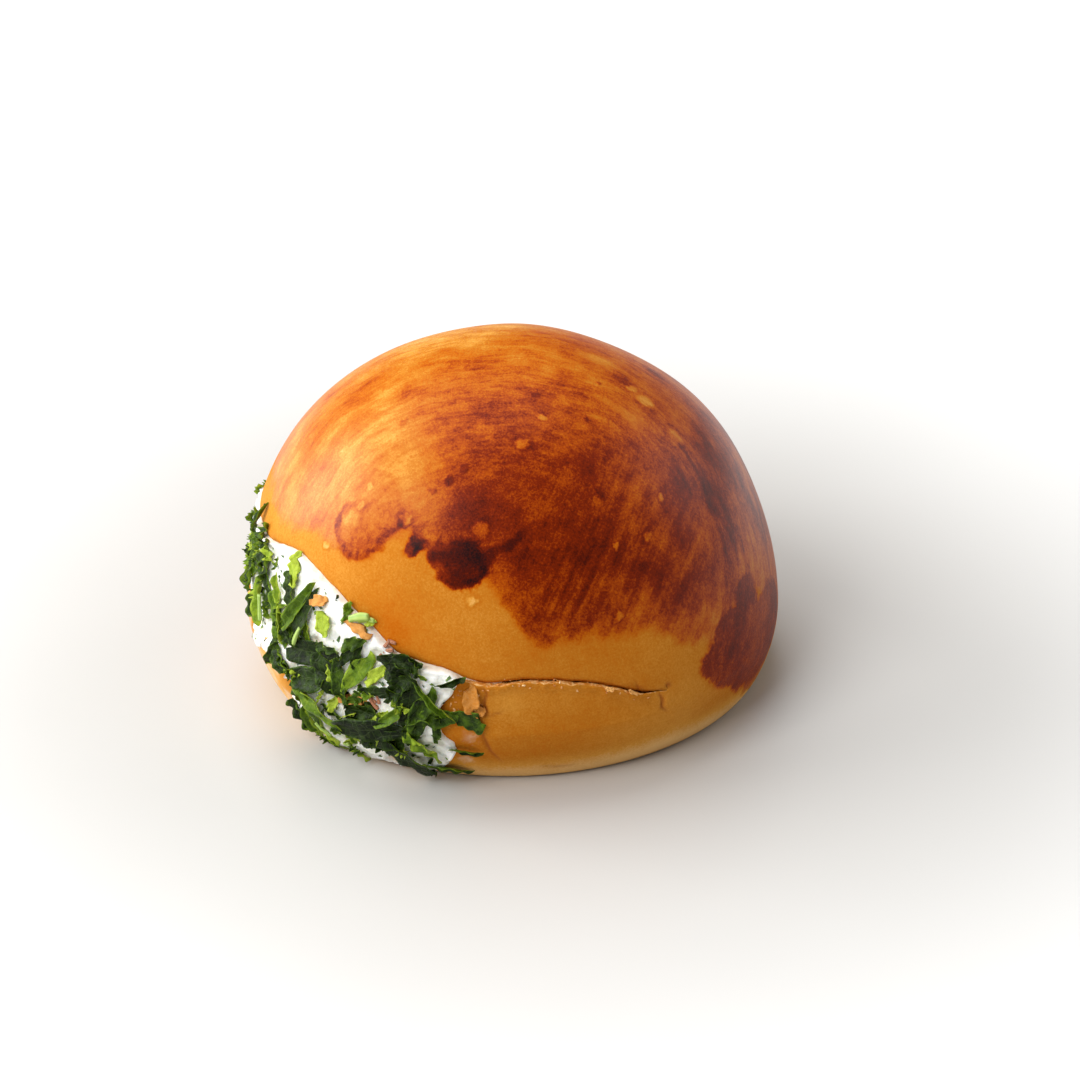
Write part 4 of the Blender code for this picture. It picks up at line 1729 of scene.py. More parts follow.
SPRIGS = each(
    Sprig,
    (172, 27, 5, 2.2, 100, BLADE, 0.2, 0), (176, 23, 5, 2.2, 80, BLADE, 0.3, 0),
    (180, 27.5, 6.5, 2.4, 85, BLADE, 0.1, 0.1), (183, 33, 6, 2, 95, BLADE, 0.14, 0.1),
    (184, 23.5, 6, 2.4, 80, BLADE, 0.16, 0.1), (186, 30, 7, 2.4, 90, BLADE, 0.22, 0.2),
    (189, 25, 6, 2.8, 105, BLADE, 0.12, 0.3), (191, 28.5, 5.5, 2.4, 70, BLADE, 0.3, 0.4),
    (190.5, 38.5, 6.5, 2.4, 88, FOLD, 0.1, 0.4), (194.5, 37, 6, 2.6, 60, FRILL, 0.25, 0.5),
    (195.5, 33, 7, 3.6, 75, FRILL, 0.18, 0.4), (199, 31.5, 7, 4.2, 65, FRILL, 0.1, 0.3),
    (199.5, 26, 10, 3, 108, FOLD, 0.55, 0.7), (204, 28, 7, 3.4, 120, BLADE, 0.15, 0.4),
    (207.5, 31.5, 5.5, 1.8, 125, FOLD, 0.6, 0.7), (208.5, 26, 9.5, 3.2, 125, FOLD, 0.4, 0.9),
    (212.5, 33.4, 7, 3.6, 95, BLADE, 0.12, 0.6), (213.5, 38, 4.6, 3, 80, CHIP, 0.9, 0.9),
    (219.5, 31, 12, 3, 72, BLADE, 0.08, 0.7), (217.5, 32, 12, 3.4, 60, FOLD, 0.34, 1.3),
    (214.5, 26.6, 7.5, 4, 92, BLADE, 0.3, 0.9), (211.5, 25.4, 7, 2.6, 115, FOLD, 0.65, 1),
    (210.5, 19, 6.5, 1.2, 65, FOLD, 0.2, 0.8), (192.5, 20, 5, 2.4, 100, BLADE, 0.12, 0.2),
    (214.5, 20, 6, 3.4, 140, BLADE, 0.14, 0.5), (223.5, 24.4, 12, 4.8, 12, BLADE, 0.05, 0.5),
    (222.5, 19.2, 8.5, 4.4, 14, BLADE, 0.1, 0.7), (228, 21.4, 8.5, 5, 120, BLADE, 0.08, 0.9),
    (227.5, 27.2, 5.5, 2.2, 175, FRILL, 0.15, 0.7), (234.5, 30.2, 5, 2.6, 15, FRILL, 0.22, 0.8),
    (233, 27.7, 6, 3, 45, BLADE, 0.06, 0.5), (235.5, 24.2, 9, 3.8, 66, BLADE, 0.48, 1),
    (231.5, 21.6, 8, 3, 95, BLADE, 0.2, 1), (240, 25, 5, 2.4, 35, CHIP, 0.85, 1.1),
    (245.5, 28.6, 8, 3.6, 8, FRILL, 0.04, 0.8), (246, 26, 7, 4.2, 150, FRILL, 0.06, 1),
    (245, 23.5, 5, 3.4, 45, FRILL, 0.1, 0.9), (241, 22, 7.5, 2.2, 10, BLADE, 0.08, 0.9),
    (256.5, 26, 5.6, 2.4, 22, FOLD, 0.12, 0.7), (247.5, 20.2, 8, 4, 80, BLADE, 0.06, 0.7),
    (250.5, 20, 7.5, 4, 70, BLADE, 0.18, 0.9), (253, 21.8, 9.5, 3.4, 133, FOLD, 0.36, 1.5),
    (254, 18.2, 6.5, 4, 10, BLADE, 0.25, 0.8), (260, 17.8, 5.6, 3.8, 163, CHIP, 0.24, 0.5),
    (259, 10, 5.4, 1.8, 173, FOLD, 0.1, 0.4), (254, 3.6, 8, 2.6, 172, BLADE, 0.12, 0.4),
    (237, 16.2, 8, 3.8, 5, FRILL, 0.08, 0.8), (243.5, 17.4, 6.5, 2.4, 38, FOLD, 0.42, 1.2),
    (241, 11, 10, 4.6, 22, BLADE, 0.06, 0.9), (238.5, 13.8, 14, 4.2, 8, BLADE, 0.03, 1.3),
    (245.5, 7.2, 11, 5.2, 140, BLADE, 0.08, 1), (250, 11.3, 7, 4.4, 120, FRILL, 0.45, 1.1),
    (226, 13.7, 12, 3.8, 150, BLADE, 0.42, 1.1), (223, 12, 9, 3.4, 110, BLADE, 0.28, 0.8),
    (221, 7.5, 7, 3, 100, FOLD, 0.38, 0.7), (225.5, 6.2, 5, 1.4, 140, FOLD, 0.85, 1.1),
    (230.5, 5.4, 2.6, 1.4, 30, CHIP, 0.9, 0.7), (216.5, 6, 7.5, 3, 110, FRILL, 0.06, 0.3),
    (218.5, 14.5, 5, 2.6, 110, BLADE, 0.15, 0.6), (224, 2.6, 7.5, 2, 160, FOLD, 0.22, 0.4),
    (231.5, 2.4, 4, 1.8, 150, BLADE, 0.32, 0.3), (230, 16.4, 2.2, 1.6, 100, CHIP, 0.9, 0.6),
    (225.5, 31.2, 4.2, 3, 100, CHIP, 0.8, 0.5), (231.5, 35.6, 2.8, 2, 60, FRILL, 0.4, 0.5),
    (237.6, 34.6, 1.8, 1.3, 12, CHIP, 1, 0.4), (248.5, 15.5, 6, 3.4, 20, BLADE, 0.12, 0.7),
)

SCRAPS = each(
    Sprig,
    (223.5, 35.2, 3.6, 2, 10, CHIP, 0.65, 0.1), (234.2, 32.8, 5.6, 1.9, 175, CHIP, 0.7, 0.1),
    (234.5, 18.2, 5.4, 2, 4, CHIP, 0.7, 0.1), (261, 22.4, 5.2, 3.6, 95, BLADE, 0.85, 0),
    (262.6, 19.8, 2.6, 1.8, 30, BLADE, 0.8, 0.1), (292, 22.6, 1.5, 0.7, 172, CHIP, 0.35, 1.9),
    (297.4, 20.8, 1.6, 0.8, 150, CHIP, 0.45, 1.9),
)


@dataclass(frozen=True)
class LeafFinish:
    """Wet chopped parsley: veined, darker on top, paler underneath and lighter at the cut edges, partly
    painted highlight.
    """

    tones: Stops = (
        (0.00, linear(10, 21, 1)), (0.20, linear(34, 54, 5)), (0.45, linear(84, 112, 18)),
        (0.70, linear(132, 156, 36)), (1.00, linear(172, 190, 60)),
    )
    vein_tone: Colour = linear(124, 146, 70)
    vein_share: float = 0.16
    vein_mesh: float = 1.5
    under_share: float = 0.30
    patch_share: float = 0.70
    # How much lighter the cut edges are: partly the leaf's paler edge, partly painted highlight.
    cut_edge_and_highlight_share: float = 0.16
    base_tone: float = 0.03
    net_width: float = 0.10
    net_share: float = 0.45
    rib_width: Pair = (0.01, 0.035)
    rib_share: float = 0.6
    side_margin: Pair = (0.40, 0.49)
    end_margin: Pair = (0.44, 0.50)
    patches: tuple[float, float, float] = (1.5, 3.0, 0.6)
    grain_size: float = 0.35
    relief: Pair = (0.34, 0.9)

    def material(self) -> Material:
        """The leaves' material, which reads their UV map and the attributes "bright" and "under".

        Returns:
            The material.
        """
        paint = Paint("parsley_leaf")
        place = paint.place()
        from_rib = abs(paint.across("Y") - 0.5)
        from_middle = abs(paint.across("X") - 0.5)
        mesh = {"Vector": place, "Scale": 1.0 / self.vein_mesh}
        net = paint.node("ShaderNodeTexVoronoi", {"feature": "DISTANCE_TO_EDGE"}, mesh, "Distance")
        fine_veins = net.inside(0.0, self.net_width) * self.net_share
        veins = fine_veins.at_least(from_rib.inside(*self.rib_width) * self.rib_share)
        # Lighter cut edges: partly the leaf's paler edge, partly painted highlight.
        cut_edge_and_highlight = from_rib.ramp(*self.side_margin).at_least(from_middle.ramp(*self.end_margin))
        patch = paint.noise(place, *self.patches)
        tone = paint.attribute("bright") + paint.attribute("under") * self.under_share
        tone = tone + (patch - 0.5) * self.patch_share + cut_edge_and_highlight * self.cut_edge_and_highlight_share + self.base_tone
        colour = paint.colours(tone.clamped(), self.tones)
        colour = paint.blend(veins * self.vein_share, colour, self.vein_tone)
        height = patch * 0.5 + veins * -0.5 + paint.noise(place, self.grain_size) * 0.25
        return paint.finish(
            Base_Color=colour, Roughness=0.30 + patch * 0.2, Normal=paint.bump(height, *self.relief),
            Specular_IOR_Level=0.14,
        )


@dataclass(frozen=True)
class ScrapFinish:
    """Torn scraps of crust, golden outside and paler where they broke."""

    pale_tone: Colour = linear(236, 190, 122)
    golden_tone: Colour = linear(198, 122, 38)
    grain: tuple[float, float, float] = (0.5, 3.0, 0.7)
    grain_share: float = 0.7
    relief: Pair = (0.3, 0.8)

    def material(self) -> Material:
        """The scraps' material, which reads the attribute "bright".

        Returns:
            The material.
        """
        paint = Paint("torn_crust")
        place = paint.place()
        grain = paint.noise(place, *self.grain)
        tone = (paint.attribute("bright") + (grain - 0.5) * self.grain_share).clamped()
        colour = paint.blend(tone, self.pale_tone, self.golden_tone)
        return paint.finish(
            Base_Color=colour, Roughness=0.6 + grain * 0.2, Normal=paint.bump(grain, *self.relief),
            Specular_IOR_Level=0.1,
        )


def laid(piece: "Sprig | Rod", forward: Array, across: Array) -> tuple[Array, Array]:
    """Turns a flat piece and lays it round the bun.

    Args:
        piece: The piece, with its place and turn.
        forward: Distances along it, in millimetres.
        across: Distances across it, in millimetres.

    Returns:
        The azimuths and the heights, in millimetres, that they come to.
    """
    turn = math.radians(piece.turn)
    sideways = forward * math.cos(turn) - across * math.sin(turn)
    upwards = forward * math.sin(turn) + across * math.cos(turn)
    return piece.azimuth + np.degrees(sideways * MM / FORM.radius), piece.height + upwards


@dataclass
class Leaves:
    """The parsley leaves: the large ones that show one by one, and smaller ones that fill in round them."""

    name: str
    cream: Cream
    finish: LeafFinish | ScrapFinish
    sprigs: tuple[Sprig, ...]
    stand: Stand = Stand.FILLING
    fill_count: int = 0
    hidden_count: int = 0
    along: int = 20
    across: int = 10
    thick: float = 0.20
    seed: int = 41
    fill_span: Pair = (176.0, 262.0)
    hidden_span: Pair = (142.0, 170.0)
    fill_lengths: Pair = (1.6, 4.6)
    fill_widths: Pair = (0.8, 2.2)
    fill_brightness: tuple[float, ...] = (0.05, 0.1, 0.1, 0.15, 0.3, 0.5, 0.8)
    lobe_counts: tuple[int, ...] = (2, 3, 5, 8)
    lobe_fall: float = 0.6
    edge_shift: float = 0.18
    least_reach: float = 0.05
    slant: float = 0.45
    fold_spread: Pair = (0.6, 1.2)
    wave_turns: Pair = (1.6, 3.2)
    wave_slant: float = 1.5
    sway_turns: Pair = (0.8, 1.5)
    sway_lift: float = 0.35
    ruffle_power: float = 1.6
    curl_lift: float = 1.1
    curl_power: float = 2.5
    tilts: Pair = (0.16, 0.08)
    crumple: float = 0.16
    crumple_size: float = 1.1
    crest: Pair = (-0.1, 0.25)
    floor_gap: float = 0.45
    fold_share: float = 0.8
    layer: float = 0.45
    sunk: float = 0.15
    drape: float = 0.55
    clearance: float = 0.04
    fill_lift: float = 0.4
    fill_lip_gap: float = 0.8
    fill_inset: float = 0.2
    bright_spread: float = 0.04
    clear: tuple[tuple[float, float, float, float], ...] = (
        (209.5, 33.7, 3, 3.2), (227.5, 35.6, 4.2, 3.2), (223, 29.8, 3.6, 2.6), (230.5, 17.2, 3.4, 1.2),
        (241.5, 19.2, 3.8, 1.2), (227.5, 6.5, 2.6, 1.3), (250.5, 8.3, 2.6, 1.8), (256, 27.7, 3.4, 1.6),
        (202, 17, 4, 3), (241.5, 30.8, 3, 2), (236, 33, 4, 1.8), (219, 36.8, 3, 2.6),
        (256.5, 13.5, 3.2, 3), (192, 20, 6, 3), (206.5, 18, 5.5, 4), (213, 12, 3.5, 4),
    )

    def _outline(self, shape: CutShape, draw: random.Random, along: Array) -> list[Array]:
        """The two edges of a piece.

        Args:
            shape: What its cut gives it.
            draw: The source of what differs from piece to piece.
            along: Places along it, from 0 to 1.

        Returns:
            How far each edge lies from the middle there, as a share of the piece's width.
        """
        taper = draw.uniform(-0.5, 0.5)
        edges = []
        for _ in range(2):
            shift = draw.uniform(-self.edge_shift, self.edge_shift)
            middle = np.abs(2.0 * along - 1.0 + shift * (1.0 - (2.0 * along - 1.0) ** 2))
            body = np.maximum(1.0 - middle ** shape.power, 0.0) ** (1.0 / shape.power)
            lobes = np.zeros_like(along)
            for count in self.lobe_counts:
                lobes += np.sin(FULL_TURN * (count * along + draw.random())) / count ** self.lobe_fall
            narrowed = 1.0 + taper * (2.0 * along - 1.0)
            edges.append(0.5 * np.maximum(body * narrowed * (1.0 + shape.jag * lobes), self.least_reach))
        return edges

    def _piece(self, sprig: Sprig, draw: random.Random) -> tuple[Array, Array]:
        """One leaf, folded along its rib, ruffled at its edges and laid on the cream.

        Args:
            sprig: Its place, size and cut.
            draw: The source of what differs from piece to piece.

        Returns:
            The points of its under and of its upper face, each a grid along and across it.
        """
        shape = sprig.cut.value
        along = np.linspace(0.0, 1.0, self.along)[:, None]
        side = np.linspace(-1.0, 1.0, self.across)[None, :]
        left, right = self._outline(shape, draw, along[:, 0])
        reach = np.where(side < 0.0, left[:, None], right[:, None]) * side * sprig.width
        forward = (along - 0.5) * sprig.length + self.slant * sprig.width * side * draw.uniform(-1.0, 1.0)

        fold = math.radians(shape.fold) * draw.uniform(*self.fold_spread)
        phase = FULL_TURN * (draw.uniform(*self.wave_turns) * along + draw.random())
        wave = np.sin(phase + side * draw.uniform(-self.wave_slant, self.wave_slant))
        sway = np.sin(math.pi * (along * draw.uniform(*self.sway_turns) + draw.random()))
        ruffle = shape.ruffle * np.abs(side) ** self.ruffle_power * wave
        lift = np.abs(reach) * math.sin(fold) + ruffle + self.sway_lift * sway
        curl = draw.uniform(0.0, self.curl_lift)
        lift = lift + curl * np.maximum(side * draw.choice((-1.0, 1.0)), 0.0) ** self.curl_power
        across, lengthways = (draw.uniform(-tilt, tilt) for tilt in self.tilts)
        lift = lift + across * reach + lengthways * forward
        flat = np.stack([forward + sprig.azimuth, reach + sprig.height, np.zeros_like(reach)], -1)
        lift = lift + self.crumple * noise_at(flat, self.crumple_size, 2)
        crest = draw.uniform(*self.crest) * sprig.width * (2.0 * along - 1.0)

        azimuth, height = laid(sprig, forward, reach * math.cos(fold) + crest * 0.5)
        height = height + max(0.0, self.floor_gap - float(height.min()))
        low = self.cream.carried(azimuth, height * MM)
        centre = float(low[self.along // 2, self.across // 2])
        rise = self.fold_share * (lift - float(lift.min())) + sprig.lift * self.layer - self.sunk
        rise = np.maximum(mix(centre, low, self.drape) + rise, low + self.clearance)
        under = FORM.on_skin(azimuth, height * MM, rise * MM)
        upper = FORM.on_skin(azimuth, height * MM, (rise + self.thick) * MM)
        return under, upper

    def _fillers(self, draw: random.Random, count: int, span: Pair) -> list[Sprig]:
        """The smaller pieces, spread at random over the smear but not on the places where cream shows.

        Args:
            draw: The source of the random places and sizes.
            count: How many are wanted.
            span: The azimuths that they lie between.

        Returns:
            The pieces.
        """
        found = []
        while len(found) < count:
            azimuth = draw.uniform(*span)
            low = max(float(self.cream.foot.at(azimuth)), 1.0)
            high = float(FORM.lip.at(azimuth)) - self.fill_lip_gap
            height = mix(low, high, draw.random())
            clear = any(
                math.hypot(float(FORM.arc(azimuth, centre)) / wide, (height - rise) / tall) < 1.0
                for centre, rise, wide, tall in self.clear
            )
            inside = float(self.cream.coverage(np.array(azimuth), np.array(height * MM)))
            if clear or inside < self.fill_inset:
                continue
            cut = draw.choice((BLADE, BLADE, FRILL, FOLD, CHIP))
            bright = draw.choice(self.fill_brightness)
            size = draw.uniform(*self.fill_lengths), draw.uniform(*self.fill_widths)
            turn, lift = draw.uniform(0, 180), draw.uniform(0, self.fill_lift)
            found.append(Sprig(azimuth, height, *size, turn, cut, bright, lift))
        return found

    def build(self) -> Piece:
        """Makes all leaves as one piece.

        Returns:
            The dressed piece.
        """
        draw = random.Random(self.seed)
        sprigs = self._fillers(draw, self.fill_count, self.fill_span) + list(self.sprigs)
        sprigs += self._fillers(draw, self.hidden_count, self.hidden_span)
        count = self.along * self.across
        points, faces, bright = [], [], []
        for number, sprig in enumerate(sprigs):
            lower, upper = self._piece(sprig, draw)
            faces += shell_faces(lower, upper, 2 * count * number)
            points += [lower.reshape(-1, 3), upper.reshape(-1, 3)]
            for _ in (lower, upper):
                tone = sprig.bright + draw.uniform(-self.bright_spread, self.bright_spread)
                bright.append(np.full(count, tone))
        under = np.tile(np.repeat([1.0, 0.0], count), len(sprigs))
        uv = np.tile(unit_grid(self.along, self.across).reshape(-1, 2), (2 * len(sprigs), 1))
        attributes = {"bright": np.concatenate(bright), "under": under}
        obj = mesh_piece(self.name, np.vstack(points), faces, self.finish.material(), attributes, uv)
        tidy_mesh(obj)
        return dress(obj, self.stand)


@dataclass(frozen=True)
class FibreFinish:
    """Fibres that run along a stem or a shred: how many waves go round it, and how they are patched."""

    name: str
    tones: tuple[Colour, Colour]
    waves: float
    sway: float
    patch_size: float
    patch_share: float
    roughness: float
    relief: Pair

    def material(self) -> Material:
        """The material, which reads the UV map.

        Returns:
            The material.
        """
        paint = Paint(self.name)
        patch = paint.noise(paint.place(), self.patch_size)
        ribs = (paint.across("Y") * self.waves + (patch - 0.5) * self.sway).maths("SINE") * 0.5 + 0.5
        share = ribs * (1.0 - self.patch_share) + patch * self.patch_share
        return paint.finish(
            Base_Color=paint.blend(share, *self.tones), Roughness=self.roughness,
            Normal=paint.bump(ribs, *self.relief),
        )


STEM_FINISH = FibreFinish(
    "parsley_stem", (linear(120, 160, 52), linear(188, 208, 110)), 25.0, 0.0, 1.2, 0.5, 0.35, (0.1, 0.6),
)
SHRED_FINISH = FibreFinish(
    "cooked_shred", (linear(150, 82, 52), linear(208, 148, 112)), 40.0, 6.0, 1.5, 0.0, 0.45, (0.12, 0.8),
)


@dataclass(frozen=True)
class Rod:
    """A short round piece on the cream: its place, length and width in mm, turn in degrees and lift."""

    azimuth: float
    height: float
    length: float
    width: float
    turn: float
    lift: float = 0.4


@dataclass
class Rods:
    """Short stems or shreds, bent a little and cut off at both ends."""

    name: str
    cream: Cream
    finish: FibreFinish
    rods: tuple[Rod, ...]
    flat: float = 0.75
    along: int = 14
    around: int = 12
    seed: int = 5
    end_width: float = 0.72
    end_swell: float = 0.28
    end_reach: float = 0.12
    ripple: float = 0.12
    ripple_rate: float = 7.0
    bend_spread: float = 0.12
    lift_share: float = 0.7

    def _rod(self, rod: Rod, draw: random.Random) -> Array:
        """One rod, a ring at a time, with its closed ends.

        Args:
            rod: Its place and size.
            draw: The source of what differs from rod to rod.

        Returns:
            The points, a grid along and around it.
        """
        share = np.linspace(0.0, 1.0, self.along)
        forward = (share - 0.5) * rod.length
        from_end = np.minimum(share, 1.0 - share)
        rounded = self.end_width + self.end_swell * eased(from_end / self.end_reach)
        uneven = 1.0 + self.ripple * np.sin(self.ripple_rate * share + draw.random() * 6)
        thick = 0.5 * rod.width * rounded * uneven
        thick[[0, -1]] = 0.0
        forward[[0, -1]] = forward[[1, -2]]
        bend = draw.uniform(-self.bend_spread, self.bend_spread) * rod.length
        bend = bend * (1.0 - (2.0 * share - 1.0) ** 2)
        turn = FULL_TURN * np.arange(self.around) / self.around
        rise = thick[:, None] * self.flat * np.sin(turn)
        azimuth, height = laid(rod, forward[:, None], bend[:, None] + thick[:, None] * np.cos(turn))
        middle = float(self.cream.carried(np.array([rod.azimuth]), np.array([rod.height * MM]))[0])
        base = middle + 0.5 * rod.width * self.flat * self.lift_share + rod.lift
        return FORM.on_skin(azimuth, height * MM, (base + rise) * MM)

    def build(self) -> Piece:
        """Makes all rods as one piece.

        Returns:
            The dressed piece.
        """
        draw = random.Random(self.seed)
        count = self.along * self.around
        points, faces = [], []
        for number, rod in enumerate(self.rods):
            points.append(self._rod(rod, draw).reshape(-1, 3))
            index = number * count + np.arange(count).reshape(self.along, self.around)
            index[0], index[-1] = index[0, 0], index[-1, 0]
            faces += joined_faces(index, True)
        uv = np.tile(unit_grid(self.along, self.around).reshape(-1, 2), (len(self.rods), 1))
        obj = mesh_piece(self.name, np.vstack(points), faces, self.finish.material(), None, uv)
        tidy_mesh(obj)
        return dress(obj, Stand.FILLING)


STEMS = each(
    Rod,
    (235, 35, 5.2, 1.5, 20, 0.9), (236.5, 34.6, 4.2, 1.1, 12, 0.3), (225, 7.4, 4.5, 1.0, 140, 1.2),
    (202.5, 25, 6.0, 1.0, 105, 1.6), (219, 26.5, 5.0, 0.9, 70, 1.8), (229.5, 4.6, 2.2, 1.0, 30, 0.6),
)

SHREDS = each(
    Rod,
    (238.6, 19.9, 3.6, 0.8, 150, 0.1), (239.8, 19.2, 3.2, 0.7, 130, 0.3),
    (240.5, 20.3, 2.6, 0.6, 110, 0.2), (241.6, 31.4, 2.2, 0.7, 60, 0.2), (242.3, 30.0, 2.6, 0.8, 20, 0.1),
    (241.2, 28.4, 2.4, 0.6, 140, 0.2), (243.0, 31.8, 1.8, 0.7, 170, 0.1),
)


@dataclass(frozen=True)
class FleckFinish:
    """Flecks of about one colour, each a little lighter or darker: noise of a kind through a ramp."""

    name: str
    tone: Cloud
    tones: Stops
    roughness: float

    def material(self) -> Material:
        """The flecks' material.

        Returns:
            The material.
        """
        paint = Paint(self.name)
        colour = paint.colours(paint.cloud(self.tone, paint.place()) + 0.5, self.tones)
        return paint.finish(Base_Color=colour, Roughness=self.roughness)


SPECK_FINISH = FleckFinish(
    "parsley_specks", Cloud(1.6, 1.0),
    ((0.3, linear(30, 54, 10)), (0.5, linear(66, 98, 22)), (0.7, linear(134, 160, 52))), 0.45,
)
CRUMB_FINISH = FleckFinish(
    "bread_crumbs", Cloud(1.1, 2.0),
    ((0.3, linear(180, 104, 40)), (0.5, linear(214, 146, 74)), (0.7, linear(244, 206, 150))), 0.7,
)


@dataclass
class Scatter:
    """Small bent flecks, strewn over a carrier by a Geometry Nodes tree and made a plain mesh."""

    name: str
    finish: FleckFinish
    stand: Stand
    bend: float
    thick: float
    density: float
    sizes: Pair
    seed: int

    def _chip(self) -> Piece:
        """One fleck, a unit across and lying flat.

        Returns:
            Its object, which isn't linked to the scene.
        """
        points = (
            (0.0, 0.0, self.thick), (-0.5, -0.22, self.bend), (0.46, -0.30, 0.0),
            (0.54, 0.24, self.bend * 1.4), (-0.42, 0.30, 0.0), (0.0, 0.0, -self.thick),
        )
        above = [(0, side, side % 4 + 1) for side in (1, 2, 3, 4)]
        below = [(5, side % 4 + 1, side) for side in (1, 2, 3, 4)]
        mesh = bpy.data.meshes.new(self.name + "_chip")
        mesh.from_pydata(points, [], above + below)
        return bpy.data.objects.new(self.name + "_chip", mesh)

    def _tree(self) -> bpy.types.NodeTree:
        """The tree: points on the carrier, a chip turned and sized at each, made real and coloured.

        Returns:
            The node tree, whose inputs are named for what they set.
        """
        tree = bpy.data.node_groups.new(self.name, "GeometryNodeTree")
        kinds = {"Geometry": "Geometry", "Chip": "Object", "Smallest": "Float", "Largest": "Float",
                 "Density": "Float", "Seed": "Int"}
        for label, kind in kinds.items():
            tree.interface.new_socket(label, in_out="INPUT", socket_type="NodeSocket" + kind)
        tree.interface.new_socket("Geometry", in_out="OUTPUT", socket_type="NodeSocketGeometry")

        maker = NodeMaker(tree)
        given = maker.node("NodeGroupInput")
        seed = given.other("Seed")
        strewn = maker.node("GeometryNodeInputNamedAttribute", {"data_type": "FLOAT"}, {"Name": "strewn"})
        spread = maker.node("GeometryNodeDistributePointsOnFaces", None, {
            "Mesh": given, "Density": given.other("Density") * strewn, "Seed": seed,
        }, "Points")
        chip = maker.node("GeometryNodeObjectInfo", None, {"Object": given.other("Chip")}, "Geometry")
        size = maker.node("FunctionNodeRandomValue", None, {
            2: given.other("Smallest"), 3: given.other("Largest"), "Seed": seed,
        }, 1)
        turn = maker.node("FunctionNodeRandomValue", {"data_type": "FLOAT_VECTOR"}, {
            "Min": (-0.5, -0.5, 0.0), "Max": (0.5, 0.5, FULL_TURN), "Seed": seed,
        })
        euler = maker.node("FunctionNodeEulerToRotation", None, {"Euler": turn})
        turned = maker.node("FunctionNodeRotateRotation", {"rotation_space": "LOCAL"}, {
            "Rotation": spread.other("Rotation"), "Rotate By": euler,
        })
        put = maker.node("GeometryNodeInstanceOnPoints", None, {
            "Points": spread, "Instance": chip, "Rotation": turned, "Scale": size,
        })
        real = maker.node("GeometryNodeRealizeInstances", None, {"Geometry": put})
        painted = maker.node("GeometryNodeSetMaterial", None, {
            "Geometry": real, "Material": self.finish.material(),
        })
        maker.node("NodeGroupOutput", None, {"Geometry": painted})
        return tree

    def build(self, carrier: Piece, strewn: Array) -> Piece:
        """Strews the flecks over a carrier.

        Args:
            carrier: The piece whose surface carries them.
            strewn: How thickly each vertex of the carrier is strewn, from 0 to 1.

        Returns:
            The dressed piece.
        """
        piece = bpy.data.objects.new(self.name, carrier.data.copy())
        bpy.context.scene.collection.objects.link(piece)
        layer = piece.data.attributes.new("strewn", "FLOAT", "POINT")
        layer.data.foreach_set("value", strewn.astype(np.float32))
        chip = self._chip()
        smallest, largest = self.sizes
        modifier = piece.modifiers.new(self.name, "NODES")
        modifier.node_group = self._tree()
        wanted = {"Chip": chip, "Density": self.density, "Smallest": smallest, "Largest": largest,
                  "Seed": self.seed}
        for item in modifier.node_group.interface.items_tree:
            if item.in_out == "INPUT" and item.name in wanted:
                modifier[item.identifier] = wanted[item.name]
        bpy.context.view_layer.update()
        made = piece.evaluated_get(bpy.context.evaluated_depsgraph_get())
        mesh = bpy.data.meshes.new_from_object(made)
        piece.modifiers.remove(modifier)
        piece.data = mesh
        mesh.shade_flat()
        bpy.data.objects.remove(chip)
        return dress(piece, self.stand)


@dataclass(frozen=True)
class Lamp:
    """A soft square lamp: its azimuth and elevation in degrees, distance and side in metres, and watts."""

    name: str
    azimuth: float
    elevation: float
    away: float
    size: float
    power: float


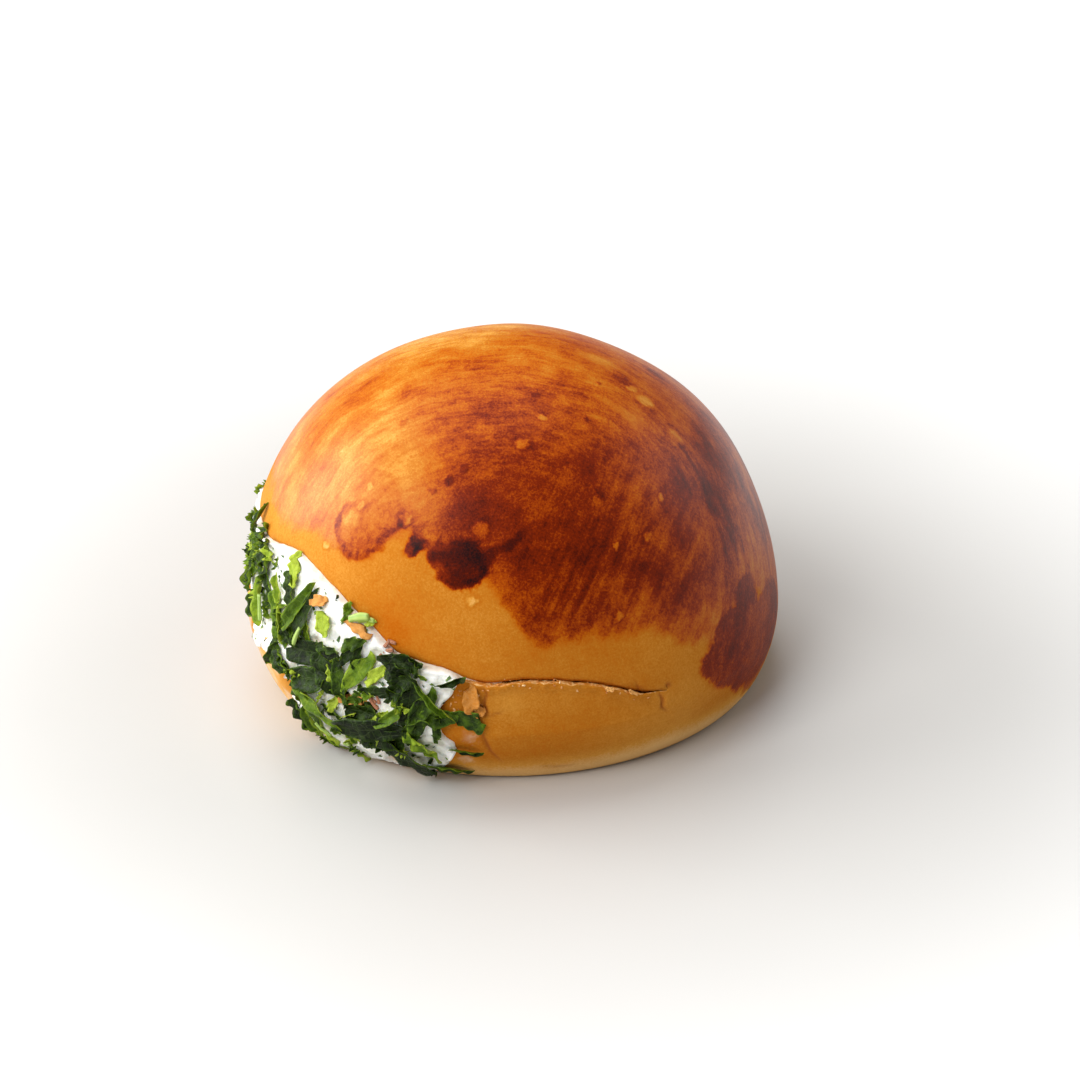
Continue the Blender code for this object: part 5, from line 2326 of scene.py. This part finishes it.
@dataclass
class Studio:
    """The pale floor, the soft lights and the camera that looks from the photograph's side."""

    target: Vector = field(default_factory=lambda: Vector((0.0010, 0.0009, 0.0349)))
    aim: Vector = field(default_factory=lambda: Vector((0.00631, -0.00230, 0.02957)))
    distance: float = 0.750
    elevation: float = 31.0
    lens: float = 127.0
    sensor_width: float = 36.0
    floor_half: float = 3.0
    floor_drop: float = 0.0002
    # Painted shadow: the first tone darkens the floor round the bun and fades to the plain second tone
    # between the two distances of the next field, in mm.
    shadow_and_floor_tones: tuple[Colour, Colour] = (linear(192, 190, 186), linear(250, 250, 249))
    shadow_fade: Pair = (60.0, 230.0)
    floor_cloud: Pair = (90.0, 0.1)
    sky: tuple[Colour, float] = ((1.0, 0.99, 0.98, 1.0), 0.22)
    lamps: tuple[Lamp, ...] = (
        Lamp("window", 172, 22, 1.2, 0.9, 13), Lamp("fill", 226, 46, 1.3, 0.7, 12),
        Lamp("overhead", 120, 66, 1.3, 1, 12), Lamp("side_glow", 18, 26, 1.3, 0.8, 2.5),
    )

    def camera(self) -> None:
        """Puts the camera in front of the bun, looking down at it."""
        tilt = math.radians(self.elevation)
        data = bpy.data.cameras.new("camera")
        data.lens = self.lens
        data.sensor_width = self.sensor_width
        obj = bpy.data.objects.new("camera", data)
        obj.location = self.target + self.distance * Vector((0.0, -math.cos(tilt), math.sin(tilt)))
        obj.rotation_euler = (self.aim - obj.location).to_track_quat("-Z", "Y").to_euler()
        bpy.context.scene.collection.objects.link(obj)
        bpy.context.scene.camera = obj

    def light(self, lamp: Lamp) -> None:
        """Puts up a lamp that faces the bun.

        Args:
            lamp: The lamp.
        """
        turn, tilt = math.radians(lamp.azimuth), math.radians(lamp.elevation)
        data = bpy.data.lights.new(lamp.name, "AREA")
        data.size = lamp.size
        data.energy = lamp.power
        obj = bpy.data.objects.new(lamp.name, data)
        way = Vector((math.cos(turn) * math.cos(tilt), math.sin(turn) * math.cos(tilt), math.sin(tilt)))
        obj.location = self.target + way * lamp.away
        obj.rotation_euler = (-way).to_track_quat("-Z", "Y").to_euler()
        bpy.context.scene.collection.objects.link(obj)

    def floor(self) -> None:
        """Lays a wide pale floor, with a painted shadow that darkens it round the bun."""
        paint = Paint("pale_floor")
        place = paint.place()
        size, share = self.floor_cloud
        cloud = paint.noise(place, size) * share
        # Painted shadow round the bun, fading out with the distance from it.
        far = paint.distance(place, np.zeros(3)).ramp(*self.shadow_fade)
        material = paint.finish(Base_Color=paint.blend(far + cloud, *self.shadow_and_floor_tones), Roughness=0.45)
        half, low = self.floor_half, -self.floor_drop
        points = np.array([(-half, -half, low), (half, -half, low), (half, half, low), (-half, half, low)])
        mesh_piece("floor", points, [[0, 1, 2, 3]], material)

    def build(self) -> None:
        """Sets up everything round the bun."""
        scene = bpy.context.scene
        scene.view_settings.view_transform = "Standard"
        scene.view_settings.exposure = 0.0
        world = bpy.data.worlds.new("studio")
        world.use_nodes = True
        sky = world.node_tree.nodes["Background"].inputs
        sky["Color"].default_value, sky["Strength"].default_value = self.sky
        scene.world = world
        self.floor()
        self.camera()
        for lamp in self.lamps:
            self.light(lamp)


def main() -> None:
    """Builds the pieces in order."""
    logging.basicConfig(level=logging.INFO, format="%(message)s")
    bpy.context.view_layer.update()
    bun, cream = Bun(), Cream()
    bread = bun.build()
    filling = cream.build()
    Leaves("parsley_leaves", cream, LeafFinish(), SPRIGS, Stand.FILLING, 90, 46).build()
    Leaves("crust_scraps", cream, ScrapFinish(), SCRAPS, Stand.BREAD, thick=0.4).build()
    Rods("parsley_stems", cream, STEM_FINISH, STEMS).build()
    Rods("meat_shreds", cream, SHRED_FINISH, SHREDS, flat=0.6, around=10, seed=9).build()
    specks = Scatter(
        "herb_specks", SPECK_FINISH, Stand.FILLING, 0.12, 0.06, 120000.0, (0.5 * MM, 1.3 * MM), 7,
    )
    specks.build(filling, cream.flecked(filling))
    crumbs = Scatter(
        "bread_crumbs", CRUMB_FINISH, Stand.BREAD, 0.15, 0.32, 700000.0, (0.25 * MM, 0.75 * MM), 11,
    )
    crumbs.build(bread, bun.crumbled(bread))
    Studio().build()


if __name__ == "__main__":
    main()
